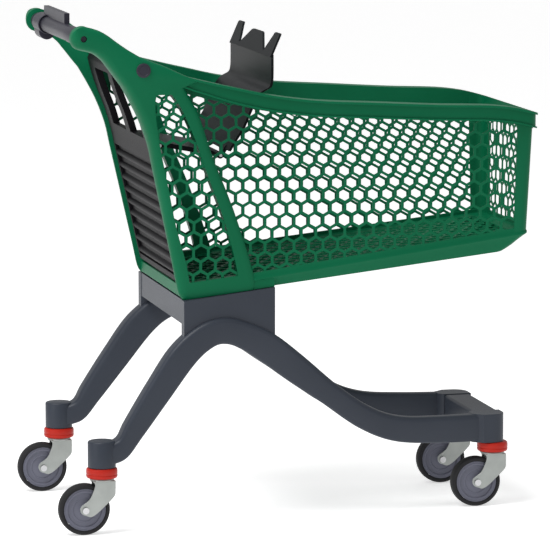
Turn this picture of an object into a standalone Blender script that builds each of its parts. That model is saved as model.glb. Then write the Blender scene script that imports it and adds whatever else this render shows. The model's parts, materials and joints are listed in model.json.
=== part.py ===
"""Plastic supermarket cart: green basket moulding, anthracite chassis, four swivel casters.

Metres, +Z up, +X is the way the cart is pushed. Shapes are written from the rear wheel
axles (x = 0 there) and shifted once by ORIGIN_X, so that the world origin lies on the
floor under the middle of the cart. The cart is the same on both sides of y = 0, but for
the coin lock on the handle.
"""

import math

import bmesh
import bpy
from mathutils import Vector

ORIGIN_X = 0.435
GAP = 0.0004

# Casters
WHEEL_RADIUS = 0.050
REAR_TRACK_HALF = 0.2265
FRONT_TRACK_HALF = 0.1270
WHEELBASE = 0.8129
TRAIL = 0.0355
TYRE_HALF_WIDTH = 0.0130
TYRE_INNER = 0.0412
HUB_OUTER = 0.0408
AXLE_RADIUS = 0.0040
FORK_INNER = 0.0155
FORK_SHEET = 0.0030
CROWN_LOW = 0.1040
CROWN_TOP = 0.1100
RING_LOW = 0.1105
RING_TOP = 0.1300
RING_RADIUS = 0.0305
STEM_RADIUS = 0.0070
STEM_TOP = 0.1680

# Chassis
SOCKET_RADIUS = 0.0272
SOCKET_LOW = 0.1305
SOCKET_TOP = 0.1820
CORNER_TOP = 0.1875
FRAME_TAPER = 0.1225
LEG_HALF = 0.0225
ARM_HALF = 0.0165
SADDLE_HALF = 0.0125
SADDLE_REAR = 0.2003
SADDLE_FRONT = 0.3862
BEAM_SHEET = 0.0040
FRONT_BAR_REAR = 0.8125
FRONT_BAR_FRONT = 0.8680

# Upper and lower edge of the side frame, rear caster to front caster: x, z, x, z
SIDE_FRAME = (
    (0.0400, 0.1760, 0.0380, 0.1345),
    (0.0660, 0.1850, 0.0800, 0.1460),
    (0.0837, 0.2165, 0.1145, 0.1870),
    (0.1305, 0.2900, 0.1670, 0.2545),
    (0.1776, 0.3560, 0.2215, 0.3240),
    (0.2325, 0.3983, 0.2582, 0.3539),
    (0.2854, 0.4101, 0.2853, 0.3585),
    (0.3365, 0.3960, 0.3150, 0.3470),
    (0.3883, 0.3700, 0.3611, 0.3162),
    (0.4462, 0.3242, 0.4180, 0.2745),
    (0.5149, 0.2648, 0.4850, 0.2290),
    (0.5859, 0.2157, 0.5600, 0.1760),
    (0.6500, 0.1925, 0.6350, 0.1445),
    (0.7378, 0.1872, 0.7300, 0.1345),
    (0.8480, 0.1870, 0.8480, 0.1330),
)

# Basket
WALL = 0.0030
RIM_OVERHANG = 0.0340
RIM_DEPTH = 0.0310
RIM_FRONT_SHARE = 0.4500
RIM_FRONT = 0.9210
LEDGE_FRONT = 0.9120
SKIRT_FRONT = 0.8660
SKIRT_INSET = 0.0140
PLAN_STEPS = 11
SHOULDER_LOW = 0.4445
SHOULDER_HIGH = 0.8800
SHOULDER_SKIN = 0.0040
# Top of the rim from the shoulders to the front, x and z
RIM_TOP = (
    (0.1600, 0.9020),
    (0.2270, 0.8754),
    (0.3060, 0.8559),
    (0.3760, 0.8405),
    (0.4670, 0.8282),
    (0.5880, 0.8208),
    (0.7110, 0.8133),
    (0.7940, 0.8103),
    (0.8350, 0.8077),
    (0.8770, 0.8016),
    (0.9215, 0.7900),
)
# Edge of the shoulder and handle arm, seen from the side, x and z
ARM_CENTRE = (0.0000, 0.9580)
ARM_RADIUS = 0.0235
# Sections of a shoulder from its foot to the arm: rear x, z and front x, z
SHOULDER_SECTIONS = (
    (0.2021, 0.4463, 0.3463, 0.4608),
    (0.1930, 0.4612, 0.3463, 0.4756),
    (0.1834, 0.5069, 0.3357, 0.5174),
    (0.1621, 0.6057, 0.3003, 0.6206),
    (0.1408, 0.7038, 0.2591, 0.7195),
    (0.1302, 0.7526, 0.2435, 0.7636),
    (0.1117, 0.8015, 0.2279, 0.8077),
    (0.0915, 0.8406, 0.2060, 0.8460),
    (0.0780, 0.8640, 0.1990, 0.8600),
    (0.0654, 0.8798, 0.2270, 0.8715),
    (0.0538, 0.8953, 0.1872, 0.8892),
    (0.0460, 0.9050, 0.1577, 0.9030),
    (0.0383, 0.9147, 0.1087, 0.9223),
    (0.0208, 0.9284, 0.0697, 0.9471),
)
# Where the arm's upper edge meets the round end, and the turns of the end's sections
ARM_TOP = ((0.0503, 0.9617), (0.0309, 0.9730))
ARM_TURNS = ((205.0, 62.0), (178.0, 80.0), (152.0, 98.0), (134.0, 116.0))
# Rounding of the shoulder's outer edges: distance from the edge, and depth there
REAR_EDGE = ((0.0, 0.0290), (0.0040, 0.0120), (0.0100, 0.0035), (0.0180, 0.0))
FRONT_EDGE = ((0.0120, 0.0), (0.0035, 0.0035), (0.0, 0.0110))
PANEL_SECTIONS = (
    (0.2135, 0.4800, 0.3110, 0.4900),
    (0.2049, 0.5219, 0.3020, 0.5300),
    (0.1839, 0.5951, 0.2780, 0.6080),
    (0.1669, 0.6738, 0.2480, 0.6850),
    (0.1499, 0.7520, 0.2200, 0.7600),
    (0.1400, 0.8200, 0.1920, 0.8200),
    (0.1424, 0.8480, 0.1720, 0.8480),
)
SHOULDER_DEPTH = ((0.4445, 0.0140), (0.8600, 0.0390), (0.9300, 0.0280))
SILL = (0.2003, 0.2135, 0.4492, 0.4712)
SILL_HALF = 0.1967
SCREW_X = (0.2300, 0.3560)
SCREW_Y = 0.1200
SCREW_BORE = 0.0029
SCREW_RADIUS = 0.0025

# Rear gate
PIVOT = (0.1158, 0.8960)
PIVOT_RADIUS = 0.0060
GATE_EYE = 0.0160
GATE_HALF_LOW = 0.1800
GATE_FLARE = 0.0720
RIB_PITCH = 0.0245
RIB_DEPTH = 0.0070
RIB_HEIGHT = 0.0100
# Rear face of the gate, top to bottom, x and z
GATE_REAR = (
    (0.0960, 0.8830),
    (0.1020, 0.8580),
    (0.1130, 0.8240),
    (0.1280, 0.7850),
    (0.1400, 0.7430),
    (0.1480, 0.7050),
    (0.1690, 0.6060),
    (0.1900, 0.5070),
    (0.1965, 0.4780),
)
LEG_HOLE = (0.0200, 0.1500, 0.7560, 0.8680)

# Folding child seat
SEAT_REAR = (0.1700, 0.7400)
SEAT_FRONT = (0.2900, 0.7180)
SEAT_HALF = 0.1250
ROD_RADIUS = 0.0030
EYE_RADIUS = 0.0065
LUG_INNER = 0.1300
LUG_OUTER = 0.1420
BACK_HALF = 0.1770
BACK_SHEET = 0.0050
# Rear face of the seat back, bottom to shoulder of the prongs, x and z
SEAT_BACK = (
    (0.2980, 0.7300),
    (0.3100, 0.7500),
    (0.3260, 0.7750),
    (0.3395, 0.8053),
    (0.3500, 0.8280),
    (0.3620, 0.8430),
    (0.3780, 0.8520),
    (0.3820, 0.8620),
    (0.3830, 0.8800),
    (0.3830, 0.9160),
)
PRONG_LEAN = (0.4000, 0.9550)
PRONG_INNER = 0.1250
NOTCH = 0.1050
HUMP_HALF = 0.0380
HUMP_TOP = 0.9490

# Handle
BAR_RADIUS = 0.0165
BOLT_RADIUS = 0.0040
RECESS_RADIUS = 0.0062
RECESS_DEPTH = 0.0080
LOCK_SLAB = (-0.0020, 0.0085, -0.0680, 0.1520, 0.9690, 0.9935)
LOCK_LOBE = (0.0000, 0.9430, 0.0160, 0.1300, 0.1850)

GREEN = (0.006, 0.150, 0.062)
ANTHRACITE = (0.030, 0.034, 0.045)
SLATE = (0.075, 0.072, 0.085)
DARK_PLASTIC = (0.052, 0.046, 0.050)


def lerp(knots, x):
    """Straight-line interpolation through (x, value) knots."""
    if x <= knots[0][0]:
        return knots[0][1]
    for (x0, v0), (x1, v1) in zip(knots, knots[1:]):
        if x <= x1:
            return v0 + (v1 - v0) * (x - x0) / (x1 - x0)
    return knots[-1][1]


def rim_half(x):
    return 0.2585 - 0.0648 * x


def base_half(x):
    return 0.2064 - 0.0794 * (x - 0.2036)


def frame_half(x):
    return REAR_TRACK_HALF - FRAME_TAPER * (x - TRAIL)


def rim_top(x):
    return lerp(RIM_TOP, x)


def ledge_z(x):
    return 0.4880 + 0.1220 * (x - 0.3870)


def bottom_z(x):
    return 0.4467 + 0.1000 * (x - 0.2077)


def shoulder_half(x, z):
    """Half width of the shoulders' outer face."""
    rise = (z - SHOULDER_LOW) / (SHOULDER_HIGH - SHOULDER_LOW)
    rise = min(max(rise, 0.0), 1.0)
    return base_half(x) + (rim_half(x) - base_half(x)) * rise


def shoulder_depth(z):
    return lerp(SHOULDER_DEPTH, z)


def material(name, colour, roughness, metallic=0.0):
    made = bpy.data.materials.new(name)
    made.use_nodes = True
    shader = made.node_tree.nodes["Principled BSDF"]
    shader.inputs["Base Color"].default_value = (*colour, 1.0)
    shader.inputs["Roughness"].default_value = roughness
    shader.inputs["Metallic"].default_value = metallic
    return made


def body(name, points, faces, look, pivot=(0.0, 0.0, 0.0)):
    """One object from points in cart coordinates, its origin on pivot."""
    mesh = bpy.data.meshes.new(name)
    pivot = Vector(pivot)
    mesh.from_pydata([Vector(p) - pivot for p in points], [], faces)
    work = bmesh.new()
    work.from_mesh(mesh)
    bmesh.ops.remove_doubles(work, verts=work.verts, dist=1e-6)
    bmesh.ops.recalc_face_normals(work, faces=work.faces)
    work.to_mesh(mesh)
    work.free()
    made = bpy.data.objects.new(name, mesh)
    made.location = pivot - Vector((ORIGIN_X, 0.0, 0.0))
    bpy.context.scene.collection.objects.link(made)
    if look is not None:
        mesh.materials.append(look)
    return made


def rings_to_faces(count, size, closed):
    """Quads between consecutive rings, and a cap on each end of an open run."""
    faces = []
    for i in range(count if closed else count - 1):
        here, there = i * size, (i + 1) % count * size
        for j in range(size):
            k = (j + 1) % size
            faces.append((here + j, here + k, there + k, there + j))
    if not closed:
        faces.append(tuple(range(size - 1, -1, -1)))
        faces.append(tuple((count - 1) * size + j for j in range(size)))
    return faces


def loft(name, rings, look, pivot=(0.0, 0.0, 0.0), closed=False):
    points = [point for ring in rings for point in ring]
    faces = rings_to_faces(len(rings), len(rings[0]), closed)
    return body(name, points, faces, look, pivot)


def slab(name, outline, near, far, look, pivot=(0.0, 0.0, 0.0)):
    """A plate with a side-view outline of (x, z), between y = near(x, z) and far(x, z)."""
    ring_a = [(x, near(x, z), z) for x, z in outline]
    ring_b = [(x, far(x, z), z) for x, z in outline]
    return loft(name, [ring_a, ring_b], look, pivot)


def flat(value):
    return lambda x, z: value


def turned(name, profile, centre, axis, look, steps=24, pivot=None):
    """A solid of revolution. profile: (radius, height) loop, or a run that ends on the axis."""
    first_on_axis = profile[0][0] < 1e-9
    loop = profile[1:-1] if first_on_axis else profile
    points = []
    for i in range(steps):
        angle = 2 * math.pi * i / steps
        c, s = math.cos(angle), math.sin(angle)
        for radius, height in loop:
            if axis == "z":
                offset = (radius * c, radius * s, height)
            elif axis == "y":
                offset = (radius * c, height, radius * s)
            else:
                offset = (height, radius * c, radius * s)
            points.append([centre[k] + offset[k] for k in range(3)])
    size = len(loop)
    faces = []
    for i in range(steps):
        here, there = i * size, (i + 1) % steps * size
        for j in range(size if not first_on_axis else size - 1):
            k = (j + 1) % size
            faces.append((here + j, here + k, there + k, there + j))
    if first_on_axis:
        faces.append(tuple(i * size for i in range(steps)))
        faces.append(tuple(i * size + size - 1 for i in range(steps)))
    return body(name, points, faces, look, pivot or centre)


def cylinder(name, centre, radius, low, high, axis, look=None, steps=20, pivot=None):
    return turned(
        name, [(0, low), (radius, low), (radius, high), (0, high)], centre, axis, look, steps, pivot
    )


def box(name, x0, x1, y0, y1, z0, z1, look=None, pivot=(0.0, 0.0, 0.0)):
    ring = [(x0, y0), (x1, y0), (x1, y1), (x0, y1)]
    rings = [[(x, y, z) for x, y in ring] for z in (z0, z1)]
    return loft(name, rings, look, pivot)


def combine(target, tools, operation):
    """Cuts or joins the helper bodies, bakes the result and removes the helpers."""
    bpy.context.view_layer.update()
    for tool in tools:
        tool.hide_render = True
        tool.display_type = "WIRE"
        step = target.modifiers.new(tool.name, "BOOLEAN")
        step.operation = operation
        step.solver = "EXACT"
        step.object = tool
    graph = bpy.context.evaluated_depsgraph_get()
    baked = bpy.data.meshes.new_from_object(target.evaluated_get(graph))
    target.modifiers.clear()
    target.data = baked
    for tool in tools:
        bpy.data.objects.remove(tool, do_unlink=True)
    return target


def cut(target, *tools):
    return combine(target, tools, "DIFFERENCE")


def join(target, *tools):
    return combine(target, tools, "UNION")


def bevel(target, width, angle=40.0, segments=2):
    """Rounds the sharp edges of a body by width."""
    step = target.modifiers.new("edges", "BEVEL")
    step.width = width
    step.segments = segments
    step.limit_method = "ANGLE"
    step.angle_limit = math.radians(angle)
    step.harden_normals = False
    return target


def smooth(target, angle=35.0):
    target.data.shade_smooth()
    target.data.set_sharp_from_angle(angle=math.radians(angle))
    return target


def catmull(knots, steps):
    """A smooth run through the knots, with the given steps between two of them."""
    made = []
    for i in range(len(knots) - 1):
        p0 = knots[max(i - 1, 0)]
        p1, p2 = knots[i], knots[i + 1]
        p3 = knots[min(i + 2, len(knots) - 1)]
        for k in range(steps):
            t = k / steps
            row = []
            for a, b, c, d in zip(p0, p1, p2, p3):
                slope, bend = c - a, 2 * a - 5 * b + 4 * c - d
                twist = 3 * b - a - 3 * c + d
                row.append(0.5 * (2 * b + t * (slope + t * (bend + t * twist))))
            made.append(tuple(row))
    made.append(tuple(knots[-1]))
    return made


# --- casters ---------------------------------------------------------------------------


def tyre_profile():
    half, radius = TYRE_HALF_WIDTH, WHEEL_RADIUS
    return [
        (TYRE_INNER, -half + 0.002),
        (TYRE_INNER + 0.003, -half),
        (radius - 0.004, -half + 0.001),
        (radius - 0.001, -half + 0.004),
        (radius, -0.004),
        (radius, 0.004),
        (radius - 0.001, half - 0.004),
        (radius - 0.004, half - 0.001),
        (TYRE_INNER + 0.003, half),
        (TYRE_INNER, half - 0.002),
    ]


def hub_profile():
    """The moulded wheel centre: boss, thin web with one ridge, and the seat of the tyre."""
    right = [
        (AXLE_RADIUS + GAP, 0.0145),
        (0.0105, 0.0145),
        (0.0130, 0.0090),
        (0.0330, 0.0090),
        (0.0350, 0.0118),
        (HUB_OUTER, 0.0110),
    ]
    left = [(radius, -height) for radius, height in reversed(right)]
    return right + left


FORK_OUTLINE = (
    (0.0140, 0.1060),
    (0.0190, 0.0990),
    (0.0145, 0.0838),
    (0.0068, 0.0700),
    (-0.0087, 0.0580),
    (-0.0100, 0.0490),
    (-0.0060, 0.0425),
    (0.0010, 0.0395),
    (0.0107, 0.0370),
    (0.0223, 0.0430),
    (0.0380, 0.0570),
    (0.0496, 0.0680),
    (0.0580, 0.0780),
    (0.0590, 0.0900),
    (0.0590, 0.1060),
)


def fork(name, wheel_x, y, look, pivot):
    """Pressed steel fork: two cheeks, a front web and the round crown under the ring."""
    outline = [(wheel_x + x, z) for x, z in FORK_OUTLINE]
    outer = FORK_INNER + FORK_SHEET
    made = slab(name, outline, flat(y - outer), flat(y - FORK_INNER), look, pivot)
    far_cheek = slab("cheek", outline, flat(y + FORK_INNER), flat(y + outer), None)
    front = wheel_x + 0.0588
    y0, y1 = y - outer + 0.0002, y + outer - 0.0002
    web = box("web", front - 0.0028, front, y0, y1, 0.0800, 0.1058)
    crown = cylinder("crown", (pivot[0], y, 0.0), 0.0236, CROWN_LOW, CROWN_TOP, "z", None, 24)
    join(made, far_cheek, web, crown)
    axle = cylinder("axle", (wheel_x, y, WHEEL_RADIUS), AXLE_RADIUS + GAP, -0.03, 0.03, "y", None, 16)
    stem = cylinder("stem", (pivot[0], y, 0.0), STEM_RADIUS + GAP, 0.09, 0.12, "z", None, 16)
    return cut(made, axle, stem)


def caster(name, wheel_x, y, looks):
    swivel = (wheel_x + TRAIL, y, 0.0)
    centre = (wheel_x, y, WHEEL_RADIUS)
    smooth(turned(name + "_tyre", tyre_profile(), centre, "y", looks["tyre"], 24))
    smooth(turned(name + "_hub", hub_profile(), centre, "y", looks["hub"], 20))
    smooth(fork(name + "_fork", wheel_x, y, looks["zinc"], swivel))
    middle = (RING_LOW + RING_TOP) / 2
    reach = (RING_TOP - RING_LOW) / 2
    bore = STEM_RADIUS + GAP
    ring = [
        (bore, middle - reach),
        (RING_RADIUS - 0.004, middle - reach),
        (RING_RADIUS - 0.0008, middle - 0.6 * reach),
        (RING_RADIUS, middle),
        (RING_RADIUS - 0.0008, middle + 0.6 * reach),
        (RING_RADIUS - 0.004, middle + reach),
        (bore, middle + reach),
    ]
    smooth(turned(name + "_ring", ring, swivel, "z", looks["red"], 20))
    stem = [
        (0, 0.0990),
        (0.0110, 0.0990),
        (0.0110, CROWN_LOW - GAP),
        (STEM_RADIUS, CROWN_LOW - GAP),
        (STEM_RADIUS, STEM_TOP),
        (0, STEM_TOP),
    ]
    smooth(turned(name + "_stem", stem, swivel, "z", looks["steel"], 14))
    outer = FORK_INNER + FORK_SHEET + GAP
    bolt = [
        (0, -outer - 0.0042),
        (0.0065, -outer - 0.0042),
        (0.0065, -outer),
        (AXLE_RADIUS, -outer),
        (AXLE_RADIUS, outer + 0.0060),
        (0, outer + 0.0060),
    ]
    smooth(turned(name + "_axle_bolt", bolt, centre, "y", looks["steel"], 12))
    nut = [(0.0051, outer), (0.0075, outer), (0.0075, outer + 0.0045), (0.0051, outer + 0.0045)]
    turned(name + "_axle_nut", nut, centre, "y", looks["steel"], 6)


# --- chassis ---------------------------------------------------------------------------


def frame_section(upper, lower, half, middle):
    """Rounded section between an upper and a lower edge point, in the frame's own plane."""
    (ux, uz), (lx, lz) = upper, lower
    length = math.hypot(lx - ux, lz - uz)
    top, low = 0.010 / length, 0.006 / length
    shape = (
        (-half + 0.010, 0.0),
        (half - 0.010, 0.0),
        (half - 0.003, 0.3 * top),
        (half, top),
        (half, 1 - low),
        (half - 0.006, 1.0),
        (-half + 0.006, 1.0),
        (-half, 1 - low),
        (-half, top),
        (-half + 0.003, 0.3 * top),
    )
    ring = []
    for offset, along in shape:
        x = ux + (lx - ux) * along
        z = uz + (lz - uz) * along
        ring.append((x, middle(x) + offset, z))
    return ring


def side_frame(name, side, look):
    """Rear leg, saddle arch, front leg and low front arm in one moulding, with both sockets."""

    def middle(x):
        return side * frame_half(x)

    rings = []
    for ux, uz, lx, lz in catmull(SIDE_FRAME, 2):
        share = min(max((0.5 * (ux + lx) - 0.36) / 0.25, 0.0), 1.0)
        half = LEG_HALF + (ARM_HALF - LEG_HALF) * share
        rings.append(frame_section((ux, uz), (lx, lz), half, middle))
    made = loft(name, rings, look)
    saddle = [
        (SADDLE_REAR, 0.3720),
        (SADDLE_REAR, bottom_z(SADDLE_REAR) - GAP),
        (SADDLE_FRONT, bottom_z(SADDLE_FRONT) - GAP),
        (SADDLE_FRONT, 0.3640),
        (0.3400, 0.3700),
        (0.2854, 0.3900),
        (0.2325, 0.3800),
    ]
    plate = slab(
        "saddle",
        saddle,
        lambda x, z: middle(x) - SADDLE_HALF,
        lambda x, z: middle(x) + SADDLE_HALF,
        None,
    )
    rear = (TRAIL, side * REAR_TRACK_HALF, 0.0)
    socket = turned(
        "socket",
        [
            (0, SOCKET_LOW),
            (SOCKET_RADIUS, SOCKET_LOW),
            (SOCKET_RADIUS, SOCKET_TOP - 0.002),
            (SOCKET_RADIUS - 0.002, SOCKET_TOP),
            (0, SOCKET_TOP),
        ],
        rear,
        "z",
        None,
        24,
    )
    corner = front_corner(side)
    join(made, plate, socket, corner)
    bores = []
    for x, y in ((TRAIL, REAR_TRACK_HALF), (WHEELBASE + TRAIL, FRONT_TRACK_HALF)):
        bores.append(
            cylinder("bore", (x, side * y, 0.0), STEM_RADIUS + GAP, 0.12, STEM_TOP + 0.002, "z", None, 14)
        )
    return smooth(cut(made, *bores), 40.0)


def front_corner(side):
    """Block over the front caster: square towards the cross bar, round outside and in front."""
    x1 = FRONT_BAR_FRONT + 0.0020
    outer, inner = FRONT_TRACK_HALF + 0.0275, FRONT_TRACK_HALF - 0.0275
    radius = 0.0275
    plan = [(FRONT_BAR_REAR, inner), (x1, inner)]
    for i in range(7):
        angle = math.radians(15.0 * i)
        plan.append(
            (x1 - radius + radius * math.cos(angle), outer - radius + radius * math.sin(angle))
        )
    plan.append((FRONT_BAR_REAR + 0.010, outer))
    plan.append((FRONT_BAR_REAR - 0.010, FRONT_TRACK_HALF + 0.010))
    plan.append((FRONT_BAR_REAR - 0.010, inner + 0.012))
    heights = ((SOCKET_LOW, 0.0), (CORNER_TOP - 0.002, 0.0), (CORNER_TOP, 0.002))
    rings = []
    cx, cy = FRONT_BAR_REAR + 0.02, FRONT_TRACK_HALF
    for z, inset in heights:
        ring = []
        for x, y in plan:
            away = math.hypot(x - cx, y - cy)
            keep = 1.0 - inset / away
            ring.append((cx + (x - cx) * keep, side * (cy + (y - cy) * keep), z))
        rings.append(ring)
    return loft("corner", rings, None)


def saddle_beam(look):
    """Channel between the saddles: rear panel, deck under the basket and front panel."""
    sheet = BEAM_SHEET
    rear, front = SADDLE_REAR + 0.0010, SADDLE_FRONT - 0.0010

    def deck(x):
        return bottom_z(x) - GAP

    outline = [
        (rear, 0.3985),
        (rear, deck(rear)),
        (front, deck(front)),
        (front, 0.4000),
        (front - sheet, 0.4000),
        (front - sheet, deck(front - sheet) - sheet),
        (rear + sheet, deck(rear + sheet) - sheet),
        (rear + sheet, 0.3985),
    ]
    made = slab(
        "saddle_beam",
        outline,
        lambda x, z: -(frame_half(x) - SADDLE_HALF - GAP),
        lambda x, z: frame_half(x) - SADDLE_HALF - GAP,
        look,
    )
    holes = []
    for x, y in screw_places():
        holes.append(cylinder("hole", (x, y, 0.0), SCREW_BORE, 0.43, 0.48, "z", None, 12))
    return cut(made, *holes)


def front_bar(look):
    half = FRONT_TRACK_HALF - 0.0275 - GAP
    x0, x1 = FRONT_BAR_REAR, FRONT_BAR_FRONT
    z0, z1 = SOCKET_LOW + 0.004, CORNER_TOP - 0.001
    made = box("front_cross_bar", x0, x1, -half, half, z0, z1, look)
    bevel(made, 0.006, 40.0, 2)
    return smooth(made)


def screw_places():
    return [(x, side * SCREW_Y) for x in SCREW_X for side in (-1, 1)]


# --- basket ----------------------------------------------------------------------------


def plan_line(half, front, radius, height, start):
    """A line round the basket at one level: right side, front, left side.

    half(x) is its half width, front its foremost x, radius its corner, height(x) its z
    and start the x of its rear ends.
    """
    right = []
    turn = front - radius
    for i in range(PLAN_STEPS + 1):
        x = start + (turn - start) * i / PLAN_STEPS
        right.append((x, -half(x)))
    wide = half(turn)
    for i in range(1, 5):
        angle = math.radians(22.5 * i)
        right.append(
            (turn + radius * math.sin(angle), -(wide - radius) - radius * math.cos(angle))
        )
    run = right + [(x, -y) for x, y in reversed(right)]
    return [(x, y, height(x)) for x, y in run]


def wall_top_half(x):
    """The walls stand in from the rim's edge, less so towards the front corners."""
    return rim_half(x) - RIM_OVERHANG + 0.010 * min(max((x - 0.78) / 0.13, 0.0), 1.0)


def basket_walls(look):
    """Both sides and the front: skirt, ledge, wall and the channel-shaped rim."""
    high, low = 0.190, 0.3400

    def buried(x):
        """1 at the rear end of the rim, where it sinks into the shoulder, and 0 past it."""
        return min(max((0.235 - x) / 0.045, 0.0), 1.0)

    def top(x):
        return rim_top(x) - 0.004 * buried(x)

    def depth(x):
        return RIM_DEPTH - 0.008 * min(max((0.30 - x) / 0.1, 0.0), 1.0)

    def rim(inset, drop):
        return plan_line(
            lambda x: rim_half(x) - inset - 0.002 * buried(x),
            RIM_FRONT - RIM_FRONT_SHARE * inset,
            0.024,
            lambda x: top(x) - drop(x),
            high,
        )

    def level(value):
        return lambda x: value

    def skirt(rise):
        return lambda x: bottom_z(x) + rise * (ledge_z(x) - 0.004 - bottom_z(x))

    lines = [
        plan_line(lambda x: base_half(x) - SKIRT_INSET, SKIRT_FRONT, 0.020, bottom_z, low),
        plan_line(lambda x: base_half(x) - 0.0085, 0.8850, 0.020, skirt(0.35), low),
        plan_line(lambda x: base_half(x) - 0.0030, 0.9010, 0.020, skirt(0.75), low),
        plan_line(lambda x: base_half(x) + 0.0015, 0.9140, 0.020, lambda x: ledge_z(x) - 0.004, low),
        plan_line(lambda x: base_half(x) + 0.0015, 0.9140, 0.020, ledge_z, low),
        plan_line(base_half, LEDGE_FRONT, 0.020, lambda x: ledge_z(x) + 0.002, low),
        plan_line(wall_top_half, 0.9155, 0.014, lambda x: top(x) - 0.003, high),
        rim(0.0090, level(0.003)),
        rim(0.0090, depth),
        rim(0.0020, depth),
        rim(0.0020, lambda x: depth(x) - 0.003),
        rim(0.0060, lambda x: depth(x) - 0.003),
        rim(0.0060, level(0.004)),
        rim(0.0000, level(0.004)),
        rim(0.0000, level(0.000)),
        plan_line(lambda x: wall_top_half(x) - WALL, 0.9125, 0.012, top, high),
        plan_line(lambda x: base_half(x) - WALL, 0.9090, 0.018, ledge_z, low),
        plan_line(lambda x: base_half(x) - WALL, 0.9090, 0.018, lambda x: ledge_z(x) - 0.005, low),
        plan_line(lambda x: base_half(x) - 0.0060, 0.8980, 0.018, skirt(0.75), low),
        plan_line(lambda x: base_half(x) - 0.0115, 0.8820, 0.018, skirt(0.35), low),
        plan_line(lambda x: base_half(x) - SKIRT_INSET - WALL, 0.8625, 0.018, bottom_z, low),
    ]
    rings = [list(ring) for ring in zip(*lines)]
    return loft("basket", rings, look)


def floor_plate():
    """The basket floor, its edge buried in the walls and shoulders."""

    def edge(rise):
        def half(x):
            return base_half(x) - 0.0015

        return plan_line(half, 0.9105, 0.0185, lambda x: ledge_z(x) + rise, 0.2005)

    return loft("floor", [edge(-0.002), edge(0.002)], None)


def shoulder_sections():
    """Rear and front edge points of the shoulder, foot to arm end, seen from the side."""
    cx, cz = ARM_CENTRE

    def on_end(turn):
        angle = math.radians(turn)
        return cx + ARM_RADIUS * math.cos(angle), cz + ARM_RADIUS * math.sin(angle)

    pairs = [((a, b), (c, d)) for a, b, c, d in SHOULDER_SECTIONS]
    pairs += [(on_end(270.0), ARM_TOP[0]), (on_end(235.0), ARM_TOP[1])]
    pairs += [(on_end(rear), on_end(front)) for rear, front in ARM_TURNS]
    return pairs


def shoulder(side):
    """Side moulding that carries the handle: a deep edge round a thin panel, open inwards."""
    rings = []
    for (rx, rz), (fx, fz) in shoulder_sections():
        length = math.hypot(fx - rx, fz - rz)
        ring = []
        size = min(1.0, length / 0.036)
        edges = [(along * size / length, drop * size) for along, drop in REAR_EDGE]
        edges += [(1.0 - along * size / length, drop * size) for along, drop in FRONT_EDGE]
        for share, drop in edges:
            x, z = rx + (fx - rx) * share, rz + (fz - rz) * share
            drop *= shoulder_depth(z) / SHOULDER_DEPTH[1][1]
            ring.append((x, side * (shoulder_half(x, z) - drop), z))
        for x, z in ((fx, fz), (rx, rz)):
            ring.append((x, side * (shoulder_half(x, z) - shoulder_depth(z)), z))
        rings.append(ring)
    made = loft("shoulder", rings, None)
    rings = []
    for rx, rz, fx, fz in PANEL_SECTIONS:
        ring = []
        for x, z, depth in ((rx, rz, 0.0), (fx, fz, 0.0), (fx, fz, 0.06), (rx, rz, 0.06)):
            ring.append((x, side * (shoulder_half(x, z) - SHOULDER_SKIN - depth), z))
        rings.append(ring)
    return cut(made, loft("pocket", rings, None))


def basket(look):
    made = basket_walls(look)
    x0, x1, z0, z1 = SILL
    sill = box("sill", x0, x1, -SILL_HALF, SILL_HALF, z0, z1)
    join(made, shoulder(-1), shoulder(1), floor_plate(), sill)
    bosses = []
    for x, y in screw_places():
        bosses.append(
            cylinder("boss", (x, y, 0.0), 0.0075, bottom_z(x) + 0.0008, ledge_z(x), "z", None, 14)
        )
    join(made, *bosses)
    cutters = []
    for x, y in screw_places():
        top = ledge_z(x) - 0.003
        cutters.append(cylinder("thread", (x, y, 0.0), SCREW_BORE, 0.43, top, "z", None, 12))
    arm = (ARM_CENTRE[0], 0.0, ARM_CENTRE[1])
    pin = (PIVOT[0], 0.0, PIVOT[1])
    outer = rim_half(0.0)
    for side in (-1, 1):
        spans = sorted((side * (outer + 0.01), side * (outer - RECESS_DEPTH)))
        cutters.append(cylinder("recess", arm, RECESS_RADIUS, *spans, "y", None, 16))
        spans = sorted((side * (outer - 0.002), side * 0.2))
        cutters.append(cylinder("bolt", arm, BOLT_RADIUS + GAP, *spans, "y", None, 12))
        spans = sorted((side * 0.27, side * 0.19))
        cutters.append(cylinder("pin", pin, PIVOT_RADIUS + GAP, *spans, "y", None, 16))
    return smooth(cut(made, *cutters), 30.0)


def basket_screws(look):
    for i, (x, y) in enumerate(screw_places()):
        under = bottom_z(x) - GAP - BEAM_SHEET - 0.0014
        profile = [
            (0, under - 0.0035),
            (0.0050, under - 0.0035),
            (0.0050, under),
            (SCREW_RADIUS, under),
            (SCREW_RADIUS, under + 0.0200),
            (0, under + 0.0200),
        ]
        smooth(turned(f"basket_screw_{i + 1}", profile, (x, y, 0.0), "z", look, 12))


# --- rear gate -------------------------------------------------------------------------


def gate_half(x, z):
    """Half width of the gate: clear of the shoulders, and of the side walls when it swings up."""
    swing = GATE_HALF_LOW + GATE_FLARE * (z - 0.478)
    return min(shoulder_half(x, z) - shoulder_depth(z) - 0.0025, swing)


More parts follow.
